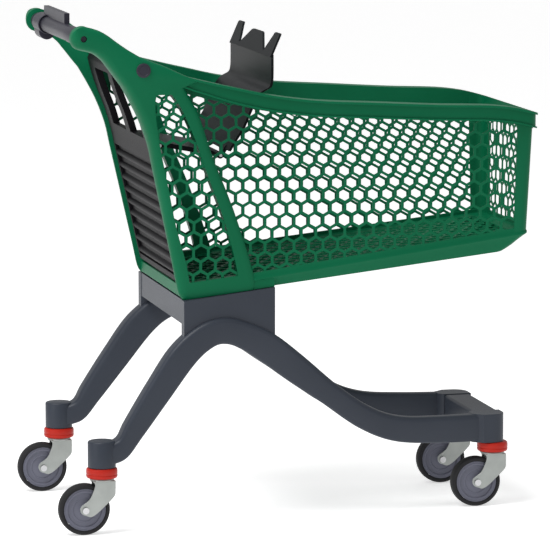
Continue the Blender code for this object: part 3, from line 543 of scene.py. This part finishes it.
def honeycomb(origin, count, keep, row=ROW):
    """Middles (i + (j mod 2)/2) pitch, j row. Corners at 30 + 60 k degrees, radius pitch/sqrt 3,
    squeezed so that the rows meet."""
    j, i = np.mgrid[0 : count[1], 0 : count[0]]
    middle = np.stack([origin[0] + (i + 0.5 * (j % 2)) * PITCH, origin[1] + j * row], -1).reshape(-1, 2)
    middle = middle[keep(middle[:, 0], middle[:, 1])]
    turn = np.radians(30 + 60 * np.arange(6))
    star = np.stack([np.cos(turn), np.sin(turn) * row / (PITCH * math.sqrt(3) / 2)], -1)
    border = middle[:, None] + star * PITCH / math.sqrt(3)
    hole = middle[:, None] + star * (PITCH - RIB) / math.sqrt(3)
    points = np.concatenate([border.reshape(-1, 2), hole.reshape(-1, 2)])
    n = len(middle)
    first = np.arange(n)[:, None] * 6
    k = np.arange(6)[None, :]
    after = (k + 1) % 6
    faces = np.stack([first + k, first + after, 6 * n + first + after, 6 * n + first + k], -1)
    return points, faces.reshape(-1, 4).tolist(), n


def mesh_sheet(name, cells, carry, lines=(), flip=False, thickness=MESH_THICKNESS):
    """lines: (x, y, out_x, out_y) cuts the flat sheet there; carry(u, v) gives its place in space."""
    points, faces, n = cells
    mesh = bpy.data.meshes.new(name)
    mesh.from_pydata(np.column_stack([points, np.zeros(len(points))]).tolist(), [], faces)
    work = bmesh.new()
    work.from_mesh(mesh)
    bmesh.ops.remove_doubles(work, verts=work.verts, dist=1e-5)
    for x, y, out_x, out_y in lines:
        whole = work.verts[:] + work.edges[:] + work.faces[:]
        bmesh.ops.bisect_plane(
            work, geom=whole, plane_co=(x, y, 0), plane_no=(out_x, out_y, 0), clear_outer=True
        )
    if flip:
        bmesh.ops.reverse_faces(work, faces=work.faces)
    work.to_mesh(mesh)
    work.free()
    flat = np.empty(len(mesh.vertices) * 3)
    mesh.vertices.foreach_get("co", flat)
    flat = flat.reshape(-1, 3)
    placed = np.stack(carry(flat[:, 0], flat[:, 1]), 1) + [AXLE_X, 0, 0]
    mesh.vertices.foreach_set("co", placed.ravel())
    made = bpy.data.objects.new(name, mesh)
    bpy.context.scene.collection.objects.link(made)
    thick = made.modifiers.new("thickness", "SOLIDIFY")
    thick.thickness, thick.offset = thickness, -1.0
    dress(made, "basket", "cart", ["basket"], edge=0.0005, sharp=50.0, segments=1)
    print(name, n, "cells")
    return made


SHOULDER_FRONT = ((0.4463, 0.3463), (0.4756, 0.3463), (0.5174, 0.3357), (0.6206, 0.3003), (0.7195, 0.2591),
                  (0.7636, 0.2435), (0.8077, 0.2279), (0.8600, 0.1990))


def shoulder_front(z):
    return np.interp(z, *np.array(SHOULDER_FRONT).T)


def under_rim(x, z):
    return z < rim_top(x) - OVERHANG + 0.012


def on_side_wall(x, z):
    return under_rim(x, z) & (x < 0.892) & (x > shoulder_front(z) - 0.010) & (z > ledge_z(x) - 0.006)


LEDGE_NORMAL = (0.1220, -1.0)
WALL_CUT = (0.3870, ledge_z(0.3870) + 0.0050, *LEDGE_NORMAL)
for side, word in ((-1, "right"), (1, "left")):
    mesh_sheet(
        f"basket_mesh_{word}",
        honeycomb((0.1888, 0.4195), (26, 19), on_side_wall),
        lambda x, z, side=side: (x, side * (wall_half(x, z) - 0.0003), z),
        [WALL_CUT],
        flip=side > 0,
    )

mesh_sheet(
    "basket_mesh_front",
    honeycomb((-6.0 * PITCH, 0.5425), (13, 12), lambda y, z: (abs(y) < 0.1160) & under_rim(0.915, z)),
    lambda y, z: (LEDGE_FRONT + (WALL_FRONT - LEDGE_FRONT) * (z - 0.555) / 0.235 - 0.0003, y, z),
    [(0.0, 0.5580, 0.0, -1.0)],
)
mesh_sheet(
    "basket_mesh_floor",
    honeycomb(
        (0.2072, -9.0 * ROW), (25, 19),
        lambda x, y: (abs(y) < base_half(x) - 0.0160) & (x > 0.205) & (x < 0.884),
    ),
    lambda x, y: (x, y, ledge_z(x) + 0.0015),
    [(0.2020, 0.0, -1.0, 0.0), (0.8960, 0.0, 1.0, 0.0)],
    thickness=FLOOR_THICKNESS,
)

# %% [markdown]
# The shoulders are the cart's strongest mouldings: from the skirt they rise beside the gate and
# lean back to become the arms that hold the handle. Each is a loft over sections between its
# rear and front edge, with a deep rounding at the rear, and a window cut in it for the mesh.

# %% Shoulders
SECTIONS = (
    (0.2021, 0.4463, 0.3463, 0.4608), (0.1930, 0.4612, 0.3463, 0.4756), (0.1834, 0.5069, 0.3357, 0.5174),
    (0.1621, 0.6057, 0.3003, 0.6206), (0.1408, 0.7038, 0.2591, 0.7195), (0.1302, 0.7526, 0.2435, 0.7636),
    (0.1117, 0.8015, 0.2279, 0.8077), (0.0915, 0.8406, 0.2060, 0.8460), (0.0780, 0.8640, 0.1990, 0.8600),
    (0.0654, 0.8798, 0.2270, 0.8715), (0.0538, 0.8953, 0.1872, 0.8892), (0.0460, 0.9050, 0.1577, 0.9030),
    (0.0383, 0.9147, 0.1087, 0.9223), (0.0208, 0.9284, 0.0697, 0.9471),
)
ARM_CENTRE, ARM_RADIUS = (0.0, 0.9580), 0.0235
ARM_NECK = ((270.0, (0.0503, 0.9617)), (235.0, (0.0309, 0.9730)))
ARM_TURNS = ((205.0, 62.0), (178.0, 80.0), (152.0, 98.0), (134.0, 116.0))
RECESS_RADIUS, RECESS_DEPTH, CUT_MARGIN = 0.0062, 0.0080, 0.010
WINDOW = (
    (0.2135, 0.4800, 0.3110, 0.4900), (0.2049, 0.5219, 0.3020, 0.5300), (0.1839, 0.5951, 0.2780, 0.6080),
    (0.1669, 0.6738, 0.2480, 0.6850), (0.1499, 0.7520, 0.2200, 0.7600), (0.1400, 0.8200, 0.1920, 0.8200),
    (0.1424, 0.8480, 0.1720, 0.8480),
)
DEPTH_KNOTS = ((0.4445, 0.8600, 0.9300), (0.0140, 0.0390, 0.0280))
REAR_EDGE = ((0.0, 0.0290), (0.0015, 0.0195), (0.0040, 0.0120), (0.0070, 0.0068), (0.0100, 0.0035),
             (0.0140, 0.0010), (0.0180, 0.0))
FRONT_EDGE = ((0.0120, 0.0), (0.0070, 0.0010), (0.0035, 0.0035), (0.0010, 0.0070), (0.0, 0.0110))


def shoulder_half(x, z):
    rise = np.clip((z - 0.4445) / (0.8800 - 0.4445), 0, 1)
    return base_half(x) + (rim_half(x) - base_half(x)) * rise


def shoulder_depth(z):
    return np.interp(z, *DEPTH_KNOTS)


def on_arm_end(turn):
    angle = math.radians(turn)
    return ARM_CENTRE[0] + ARM_RADIUS * math.cos(angle), ARM_CENTRE[1] + ARM_RADIUS * math.sin(angle)


def shoulder_piece(side):
    rows = [list(row) for row in SECTIONS]
    rows += [[*on_arm_end(rear), *top] for rear, top in ARM_NECK]
    rows += [[*on_arm_end(rear), *on_arm_end(front)] for rear, front in ARM_TURNS]
    rows = np.concatenate([smooth_run(rows[:8], 3)[:-1], smooth_run(rows[7:9], 1)[:-1], rows[8:10],
                           smooth_run(rows[10:], 2)])
    rx, rz, fx, fz = rows.T[:, :, None]
    length = np.hypot(fx - rx, fz - rz)
    size = np.minimum(1.0, length / 0.036)
    rear, front = np.array(REAR_EDGE), np.array(FRONT_EDGE)
    share = np.concatenate([rear[:, 0] * size / length, 1 - front[:, 0] * size / length,
                            np.ones_like(length), np.zeros_like(length)], 1)
    x, z = rx + (fx - rx) * share, rz + (fz - rz) * share
    depth = shoulder_depth(z)
    drop = np.concatenate([rear[:, 1] * size, front[:, 1] * size], 1) * depth[:, :-2] / 0.0390
    drop = np.concatenate([drop, depth[:, -2:]], 1)
    return loft(np.stack([x, side * (shoulder_half(x, z) - drop), z], -1))


def window_piece(side):
    rings = []
    rx, rz, fx, fz = smooth_run(WINDOW, 4).T
    for reach in (CUT_MARGIN, -0.060):
        y = [side * (shoulder_half(x, z) + reach) for x, z in ((rx, rz), (fx, fz))]
        rings.append([np.stack([rx, y[0], rz], 1), np.stack([fx, y[1], fz], 1)])
    (a, b), (d, c) = rings
    return loft(np.stack([a, b, c, d], 1))


def arm_recess(side):
    outer = rim_half(0.0)
    mouth, end = side * (outer + CUT_MARGIN), side * (outer - RECESS_DEPTH)
    profile = [(0, mouth), (RECESS_RADIUS, mouth), (RECESS_RADIUS, end), (0, end)]
    return turned(profile, (ARM_CENTRE[0], 0, ARM_CENTRE[1]), "y", 32)


WINDOW_CUTS = (
    (0.2055, 0.480, -0.272, -0.0636), (0.1340, 0.830, -0.080, -0.0098), (0.3190, 0.490, 0.270, 0.0910),
    (0.2000, 0.820, 0.060, 0.0280), (0.2135, 0.4740, 0.1, -1.0), (0.16, 0.8560, 0.0, 1.0),
)
for side, word in ((-1, "right"), (1, "left")):
    shoulder = make(
        f"basket_shoulder_{word}", shoulder_piece(side), "basket", "cart", ["basket"], edge=0.0009, sharp=40.0
    )
    carve(shoulder, window_piece(side), arm_recess(side))
    mesh_sheet(
        f"basket_mesh_shoulder_{word}",
        honeycomb((0.1025, 0.4594), (9, 17), lambda x, z: (x < 0.35) & (x > 0.12), SHOULDER_ROW),
        lambda x, z, side=side: (x, side * (shoulder_half(x, z) - 0.0018), z),
        WINDOW_CUTS,
        flip=side > 0,
    )
    print(shoulder.name, len(shoulder.data.polygons), "faces")

# %% [markdown]
# Under the gate a sill joins the shoulders, and a plain border closes the floor along each of them.

# %% Sill and floor borders
sill_low, sill_high = (SADDLE_REAR, -0.1967, 0.4492), (0.2135, 0.1967, 0.4712)
make("basket_sill", block(sill_low, sill_high), "basket", "cart", ["basket"], edge=0.0015)
corners = ((0.2040, -0.0040), (0.2040, 0.0015), (BASE_REAR + 0.005, 0.0015), (BASE_REAR + 0.005, -0.0040))
border = [(x, ledge_z(x) + rise) for x, rise in corners]
for side, word in ((-1, "right"), (1, "left")):
    strip = slab(
        border, lambda x, z: side * (base_half(x) - 0.0330), lambda x, z: side * (base_half(x) - 0.0125)
    )
    make(f"basket_floor_border_{word}", strip, "basket", "cart", ["basket"], edge=0.0006)
print("sill and floor borders made")

# %% [markdown]
# Round caps close the gate's hinge pins. Each is a low dome turned round the pin, with a small
# step where a screwdriver lifts it.

# %% Gate pins
for side, word in ((-1, "right"), (1, "left")):
    tip = max(abs(corner.y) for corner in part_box(f"{word}_gate_pin"))
    cap = [(0, tip - 0.030), (0.0060, tip - 0.030), (0.0060, tip - 0.0028), (0.0138, tip - 0.0028),
           (0.0138, tip - 0.0014), (0.0128, tip - 0.0006), (0.0100, tip - 0.0001), (0.0096, tip - 0.0006),
           (0.0040, tip - 0.0004), (0, tip)]
    pin = [(radius, side * height) for radius, height in cap]
    place = centre_of(f"{word}_gate_pin") * [1, 0, 1]
    make(f"gate_pin_cap_{word}", turned(pin, place, "y"), "slate", "cart", [f"{word}_gate_pin"], sharp=40.0)

# %% [markdown]
# The rear gate is hinged at its top, so that a cart pushed in from behind lifts it. Its lower
# half carries close, rounded ribs. The side-view outline holds the ribs as half sine waves, and
# the plate takes its flare from the shoulders beside it.

# %% Rear gate
GATE_REAR = (
    (0.4780, 0.1965), (0.5070, 0.1900), (0.6060, 0.1690), (0.7050, 0.1480), (0.7430, 0.1400),
    (0.7850, 0.1280), (0.8240, 0.1130), (0.8580, 0.1020), (0.8830, 0.0960),
)
GATE_FOOT, GATE_TOP = 0.4780, 0.8830
PIVOT, KNUCKLE, GATE_SHEET = (0.1158, 0.8960), 0.0160, 0.0140
RIB_LOW, RIB_HIGH, RIB_PITCH, RIB_DEPTH, RIB_HEIGHT = 0.4900, 0.7105, 0.0245, 0.0070, 0.0150
GATE_BORDER, HALF_OVERLAP = 0.0100, 0.0005
LEG_HOLE_LOW, LEG_HOLE_HIGH = (0.05, 0.020, 0.756), (0.20, 0.150, 0.868)
LUG_NEAR, LUG_FAR = 0.130, 0.142


def gate_rear(z):
    line = smooth_run(GATE_REAR, 6)
    return np.interp(z, line[:, 0], line[:, 1])


def gate_half(x, z):
    """Just inside the shoulders, and never wider than what swings clear of them."""
    swing = 0.1800 + 0.0720 * (z - 0.478)
    return np.minimum(shoulder_half(x, z) - shoulder_depth(z) - 0.0025, swing)


def gate_outline(ribbed):
    z = np.linspace(GATE_FOOT, GATE_TOP, 260 if ribbed else 40)
    wave = np.sin(math.pi * np.clip(((z - RIB_LOW) % RIB_PITCH) / RIB_HEIGHT, 0, 1)) ** 0.6
    inside = (z > RIB_LOW) & (z < RIB_HIGH) & ribbed
    rear = np.stack([gate_rear(z) + RIB_DEPTH * (1 - np.where(inside, wave, 1.0)), z], 1)
    turn = np.radians(np.linspace(190, -35, 16))
    knuckle = np.stack([PIVOT[0] + KNUCKLE * np.cos(turn), PIVOT[1] + KNUCKLE * np.sin(turn)], 1)
    back = np.linspace(0.8680, GATE_FOOT, 24)
    return np.concatenate([rear, knuckle, np.stack([gate_rear(back) + GATE_SHEET, back], 1)])


def gate_inner(x, z):
    return gate_half(x, z) - GATE_BORDER


def ribbed_half(x, z):
    return gate_inner(x, z) + HALF_OVERLAP


def leg_hole(side):
    (x0, y0, z0), (x1, y1, z1) = LEG_HOLE_LOW, LEG_HOLE_HIGH
    near, far = sorted((side * y0, side * y1))
    return block((x0, near, z0), (x1, far, z1))


gate_plate = together(
    slab(gate_outline(True), lambda x, z: -ribbed_half(x, z), ribbed_half),
    slab(gate_outline(False), gate_inner, gate_half),
    slab(gate_outline(False), lambda x, z: -gate_half(x, z), lambda x, z: -gate_inner(x, z)),
)
gate = make("gate_panel", gate_plate, "gate", "gate", ["rear_gate"], edge=0.0008, sharp=45.0)
carve(gate, leg_hole(-1), leg_hole(1))
seat_pin = centre_of("seat_rear_rod") * [1, 0, 1]
for side, word in ((-1, "right"), (1, "left")):
    lug = eye(seat_pin, *sorted((side * LUG_NEAR, side * LUG_FAR)))
    make(f"gate_lug_{word}", lug, "gate", "gate", edge=0.0005)
print("gate", len(gate.data.polygons), "faces")

# %% [markdown]
# The child seat folds flat against the gate when nobody uses it: a board on a rod through the
# gate's eyes, and a curved back that hinges on the board's front rod. Two prongs on top of the
# back hold the loops of a bag.

# %% Seat board and back
seat_front = centre_of("seat_front_rod") * [1, 0, 1]
seat_half = float(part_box("seat_plate")[1].y)
(sx, _, sz), (tx, _, tz) = seat_pin, seat_front
board = [
    (sx + 0.0050, sz - 0.0040), (tx - 0.0050, tz - 0.0030), (tx - 0.0050, tz + 0.0035),
    (tx - 0.0120, tz + 0.0078), (sx + 0.0160, sz + 0.0034), (sx + 0.0050, sz + 0.0034),
]
seat_board = together(
    slab(board, lambda x, z: -seat_half, lambda x, z: seat_half),
    eye(seat_pin, 0.0002 - seat_half, seat_half - 0.0002),
    eye(seat_front, 0.0002 - seat_half, seat_half - 0.0002),
)
make("seat_board", seat_board, "seat", "seat", ["seat_plate"], edge=0.0012, sharp=30.0)

BACK_CURVE = (
    (0.2980, 0.7300), (0.3100, 0.7500), (0.3260, 0.7750), (0.3395, 0.8053), (0.3500, 0.8280),
    (0.3620, 0.8430), (0.3780, 0.8520), (0.3820, 0.8620), (0.3830, 0.8800), (0.3830, 0.9160),
)
BACK_SHEET, BACK_HALF = 0.0050, 0.1770


def back_piece():
    rear = smooth_run(BACK_CURVE, 5)
    outline = np.concatenate([rear, (rear + [BACK_SHEET, -0.001])[::-1]])
    plate = slab(outline, lambda x, z: -BACK_HALF, lambda x, z: BACK_HALF)
    foot, tip, half = 0.9160, 0.9550, BACK_HALF
    right = [(half, foot - 0.006), (half, tip - 0.004), (half - 0.0015, tip - 0.0012), (half - 0.004, tip),
             (0.137, tip), (0.1335, tip - 0.0015), (0.131, tip - 0.006), (0.1105, foot + 0.010),
             (0.1075, foot + 0.0035), (0.1035, foot + 0.0020), (0.0985, foot + 0.0035), (0.0480, 0.9465),
             (0.0420, 0.9485), (0.0360, 0.9490)]
    crest = np.array(right + [(-y, z) for y, z in reversed(right)])
    y, z = crest.T
    lean = 0.3830 + (0.4000 - 0.3830) * (z - foot) / (tip - foot)
    top = loft([np.stack([lean, y, z], 1), np.stack([lean + BACK_SHEET - 0.0004, y, z], 1)])
    lugs = []
    for side in (-1, 1):
        y0, y1 = sorted((side * LUG_NEAR, side * LUG_FAR))
        lugs.append(eye(seat_front, y0, y1))
        arm = [(tx + 0.001, tz + 0.0055), (tx + 0.0062, tz - 0.001), (0.3080, 0.7360), (0.3010, 0.7380)]
        lugs.append(slab(arm, lambda x, z: y0 + 0.0002, lambda x, z: y1 - 0.0002))
    return together(plate, top, *lugs)


make("seat_back_rest", back_piece(), "seat", "backrest", ["seat_back"], edge=0.0010, sharp=30.0)

# %% [markdown]
# Each side of the chassis is one gas-injected moulding: from the rear caster it climbs to the
# saddle under the basket and swoops down again to the front caster. It is a loft over rounded
# rectangles between an upper and a lower edge line, with the straight plates of the saddle and
# the caster sockets growing out of it.

# %% Side frames
EDGES = (
    (0.0400, 0.1760, 0.0380, 0.1345), (0.0660, 0.1850, 0.0800, 0.1460), (0.0837, 0.2165, 0.1145, 0.1870),
    (0.1305, 0.2900, 0.1670, 0.2545), (0.1776, 0.3560, 0.2215, 0.3240), (0.2325, 0.3983, 0.2582, 0.3539),
    (0.2854, 0.4101, 0.2853, 0.3585), (0.3365, 0.3960, 0.3150, 0.3470), (0.3883, 0.3700, 0.3611, 0.3162),
    (0.4462, 0.3242, 0.4180, 0.2745), (0.5149, 0.2648, 0.4850, 0.2290), (0.5859, 0.2157, 0.5600, 0.1760),
    (0.6500, 0.1925, 0.6350, 0.1445), (0.7378, 0.1872, 0.7300, 0.1345), (0.8480, 0.1870, 0.8480, 0.1330),
)
TOP_RADIUS, LOW_RADIUS = 0.0100, 0.0060
REAR_LEG_HALF, FRONT_ARM_HALF, SADDLE_HALF, CORNER_HALF = 0.0225, 0.0165, 0.0125, 0.0275
SOCKET = (
    (0, 0.1305), (0.0262, 0.1305), (0.0272, 0.1315), (0.0272, 0.1795), (0.0262, 0.1812),
    (0.0246, 0.1820), (0, 0.1820),
)


def frame_sweep(side):
    """Half section: top arc (r sin a, r - r cos a), then bottom arc; mirrored across the middle."""
    ux, uz, lx, lz = smooth_run(EDGES, 8).T[:, :, None]
    length = np.hypot(lx - ux, lz - uz)
    slimmer = np.clip((0.5 * (ux + lx) - 0.36) / 0.25, 0, 1)
    half = REAR_LEG_HALF + (FRONT_ARM_HALF - REAR_LEG_HALF) * slimmer
    a = np.radians(np.linspace(0, 90, 6))[None, :]
    across = np.concatenate([half - TOP_RADIUS * (1 - np.sin(a)), half - LOW_RADIUS * (1 - np.cos(a))], 1)
    upper, lower = TOP_RADIUS * (1 - np.cos(a)) + 0 * length, length - LOW_RADIUS * (1 - np.sin(a))
    along = np.concatenate([upper, lower], 1)
    across = np.concatenate([across, -across[:, ::-1]], 1)
    along = np.concatenate([along, along[:, ::-1]], 1) / length
    x, z = ux + (lx - ux) * along, uz + (lz - uz) * along
    return loft(np.stack([x, side * frame_half(x) + across, z], -1))


def saddle_plate(side):
    rear, front = SADDLE_REAR, SADDLE_FRONT
    outline = [
        (rear, 0.3720), (rear, bottom_z(rear) - 0.0004), (front, bottom_z(front) - 0.0004),
        (front, 0.3640), (0.3400, 0.3700), (0.2854, 0.3900), (0.2325, 0.3800),
    ]
    return slab(
        outline,
        lambda x, z: side * frame_half(x) - SADDLE_HALF,
        lambda x, z: side * frame_half(x) + SADDLE_HALF,
    )


def front_corner(side):
    """Square towards the cross bar, a quarter circle outside and in front."""
    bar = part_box("front_cross_bar")
    x0, x1 = bar[0].x - AXLE_X, bar[1].x - AXLE_X + 0.0020
    outer, inner, radius = FRONT_TRACK + CORNER_HALF, FRONT_TRACK - CORNER_HALF, CORNER_HALF
    a = np.radians(np.linspace(0, 90, 13))
    arc = np.stack([x1 - radius + radius * np.cos(a), outer - radius + radius * np.sin(a)], 1)
    towards_arm = [(x0 + 0.010, outer), (x0 - 0.010, FRONT_TRACK + 0.010), (x0 - 0.010, inner + 0.012)]
    plan = np.concatenate([[(x0, inner), (x1, inner)], arc, towards_arm])
    levels = (0.1305, 0.1875)
    return loft([np.column_stack([plan[:, 0], side * plan[:, 1], np.full(len(plan), z)]) for z in levels])


for side, word in ((-1, "right"), (1, "left")):
    moulding = together(
        frame_sweep(side), saddle_plate(side), front_corner(side),
        turned(SOCKET, (TRAIL, side * REAR_TRACK, 0), "z"),
    )
    frame_side = make(
        f"chassis_side_{word}", moulding, "chassis", "cart", [f"{word}_side_frame"],
        edge=0.0018, sharp=40.0, segments=3,
    )
    print(frame_side.name, len(frame_side.data.polygons), "faces")
bar_block = block(*[np.array(corner) - [AXLE_X, 0, 0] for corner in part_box("front_cross_bar")])
make("chassis_front_bar", bar_block, "chassis", "cart", ["front_cross_bar"], edge=0.0060, segments=4)

# %% [markdown]
# A caster is a wheel in a pressed steel fork that trails behind its swivel. The tyre, the wheel
# centre and the red seal are turned shapes. The fork's cheeks follow a smooth outline, wide at
# the crown and narrow round the axle.

# %% Casters
def mirrored(right):
    """Half a profile, and the other half with its heights turned round."""
    return list(right) + [(radius, -height) for radius, height in reversed(right)]


TYRE = mirrored([(0.0412, 0.0110), (0.0425, 0.0124), (0.0440, 0.0130), (0.0462, 0.0127), (0.0480, 0.0116),
                 (0.0492, 0.0096), (0.0498, 0.0070), (0.0500, 0.0040)])
HUB = mirrored([(0.0044, 0.0145), (0.0096, 0.0145), (0.0105, 0.0138), (0.0115, 0.0100), (0.0130, 0.0090),
                (0.0215, 0.0086), (0.0225, 0.0094), (0.0240, 0.0094), (0.0250, 0.0086), (0.0322, 0.0088),
                (0.0334, 0.0112), (0.0350, 0.0118), (0.0368, 0.0118), (0.0378, 0.0106), (0.0408, 0.0106)])
RING = (
    (0.0074, 0.1105), (0.0270, 0.1105), (0.0292, 0.1112), (0.0303, 0.1135), (0.0305, 0.1165),
    (0.0298, 0.1178), (0.0305, 0.1190), (0.0305, 0.1245), (0.0298, 0.1280), (0.0275, 0.1298),
    (0.0074, 0.1300),
)
CROWN = (
    (0, 0.1040), (0.0222, 0.1040), (0.0234, 0.1052), (0.0236, 0.1072), (0.0228, 0.1092),
    (0.0205, 0.1100), (0, 0.1100),
)
FORK_OUTLINE = (
    (0.0140, 0.1060), (0.0190, 0.0990), (0.0145, 0.0838), (0.0068, 0.0700), (-0.0087, 0.0580),
    (-0.0100, 0.0490), (-0.0060, 0.0425), (0.0010, 0.0395), (0.0107, 0.0370), (0.0223, 0.0430),
    (0.0380, 0.0570), (0.0496, 0.0680), (0.0580, 0.0780), (0.0590, 0.0900), (0.0590, 0.1060),
)
FORK_INNER, FORK_SHEET = 0.0155, 0.0030
WEB_FRONT, WEB_SHEET = 0.0588, 0.0028


def fork_piece(wheel, swivel):
    outline = smooth_run(FORK_OUTLINE, 4) + [wheel[0], 0]
    cheeks = [slab(outline, lambda x, z: wheel[1] + a, lambda x, z: wheel[1] + b)
              for a, b in ((-FORK_INNER - FORK_SHEET, -FORK_INNER), (FORK_INNER, FORK_INNER + FORK_SHEET))]
    front = wheel[0] + WEB_FRONT
    reach = FORK_INNER + FORK_SHEET - 0.0002
    web = block((front - WEB_SHEET, wheel[1] - reach, 0.0800), (front, wheel[1] + reach, 0.1058))
    crown = turned(CROWN, (swivel[0], swivel[1], 0), "z")
    return together(*cheeks, web, crown)


for word in ("right_rear", "right_front", "left_rear", "left_front"):
    wheel, swivel = centre_of(f"{word}_tyre"), centre_of(f"{word}_ring") * [1, 1, 0]
    rolls, turns = f"{word}_wheel", f"{word}_caster"
    make(f"{word}_tyre_rubber", turned(TYRE, wheel, "y", 72), "tyre", rolls, [f"{word}_tyre"], sharp=50.0)
    make(f"{word}_wheel_centre", turned(HUB, wheel, "y", 64), "hub", rolls, [f"{word}_hub"], sharp=38.0)
    make(f"{word}_seal", turned(RING, swivel, "z"), "ring", "cart", [f"{word}_ring"], sharp=38.0)
    make(f"{word}_fork_pressing", fork_piece(wheel, swivel), "zinc", turns, [f"{word}_fork"], edge=0.0007)
print("casters made")

# %% [markdown]
# The handle is a grip tube between the arms with a sleeve at its end. The coin lock rides on it:
# a ridge along the top, a collar round the tube and the barrel that takes the key of the next
# cart.

# %% Handle and coin lock
grip = centre_of("handle_bar") * [1, 0, 1]
grip_half, grip_radius = float(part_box("handle_bar")[1].y), 0.0165
tube = [(0, -grip_half), (grip_radius - 0.0022, -grip_half), (grip_radius - 0.0006, -grip_half + 0.0008),
        (grip_radius, -grip_half + 0.0025), (grip_radius, -0.1300), (grip_radius - 0.0010, -0.1292),
        (grip_radius - 0.0010, grip_half - 0.0025), (grip_radius - 0.0020, grip_half - 0.0008),
        (grip_radius - 0.0032, grip_half), (0, grip_half)]
make("handle_grip", turned(tube, grip, "y", 64), "slate", "cart", ["handle_bar"], sharp=38.0)


def lock_piece():
    ridge = block((-0.0020, -0.0680, 0.9690), (0.0085, 0.1520, 0.9935))
    lobe = [
        (0, 0.1300), (0.0150, 0.1300), (0.0160, 0.1310), (0.0160, 0.1830), (0.0145, 0.1850), (0, 0.1850),
    ]
    collar = [
        (0.0169, 0.1200), (0.0188, 0.1200), (0.0195, 0.1208), (0.0195, 0.1892), (0.0188, 0.1900),
        (0.0169, 0.1900),
    ]
    return together(ridge, turned(lobe, (0, 0, 0.9430), "y"), turned(collar, grip, "y", 64))


make("coin_lock", lock_piece(), "slate", "cart", ["lock_housing"], edge=0.0020, sharp=40.0, segments=3)

# %% [markdown]
# A white room shows a cart best: one large soft light above its rear right, a weaker one behind
# it, and walls so bright that they fill the shadows.

# %% Floor, light and camera
def staged_floor():
    reach = 40.0
    points = reach * np.array([(-1, -1, 0), (1, -1, 0), (1, 1, 0), (-1, 1, 0)], float)
    mesh = bpy.data.meshes.new("studio_floor")
    mesh.from_pydata(points.tolist(), [], [[0, 1, 2, 3]])
    made = bpy.data.objects.new("studio_floor", mesh)
    bpy.context.scene.collection.objects.link(made)
    look = finish("pale_floor", (0.90, 0.90, 0.90), (0.93, 0.93, 0.93), 0.60, strength=0.0)
    shader = look.node_tree.nodes["Principled BSDF"]
    shader.inputs["Emission Color"].default_value = (1.0, 1.0, 1.0, 1.0)
    shader.inputs["Emission Strength"].default_value = 0.52
    mesh.materials.append(look)


def area_light(name, place, aim, size, power):
    lamp = bpy.data.lights.new(name, "AREA")
    lamp.shape, lamp.size, lamp.energy = "DISK", size, power
    made = bpy.data.objects.new(name, lamp)
    made.location = place
    made.rotation_euler = (Vector(aim) - Vector(place)).to_track_quat("-Z", "Y").to_euler()
    bpy.context.scene.collection.objects.link(made)


staged_floor()
area_light("key", (-1.6, -0.8, 3.4), (0.0, 0.0, 0.6), 2.0, 105.0)
area_light("rear", (-3.6, -1.6, 1.2), (-0.3, 0.0, 0.7), 1.6, 14.0)
world = bpy.data.worlds.new("white_room")
bpy.context.scene.world = world
world.use_nodes = True
room = world.node_tree
seen, lit = room.nodes["Background"], room.nodes.new("ShaderNodeBackground")
ray, choice = room.nodes.new("ShaderNodeLightPath"), room.nodes.new("ShaderNodeMixShader")
seen.inputs["Color"].default_value = lit.inputs["Color"].default_value = (1.0, 1.0, 1.0, 1.0)
seen.inputs["Strength"].default_value, lit.inputs["Strength"].default_value = 1.0, 0.50
room.links.new(ray.outputs["Is Camera Ray"], choice.inputs["Fac"])
room.links.new(lit.outputs["Background"], choice.inputs[1])
room.links.new(seen.outputs["Background"], choice.inputs[2])
room.links.new(choice.outputs["Shader"], room.nodes["World Output"].inputs["Surface"])
bpy.context.scene.view_settings.view_transform = "Standard"

camera = bpy.data.cameras.new("camera")
camera.lens, camera.sensor_width = 263.02, 36.0
viewer = bpy.data.objects.new("camera", camera)
viewer.location = (-1.8565, -7.7007, 1.5743)
viewer.rotation_euler = (math.radians(90 - 8.01), 0.0, -math.radians(13.54))
camera.clip_end = 100.0
bpy.context.scene.collection.objects.link(viewer)
bpy.context.scene.camera = viewer
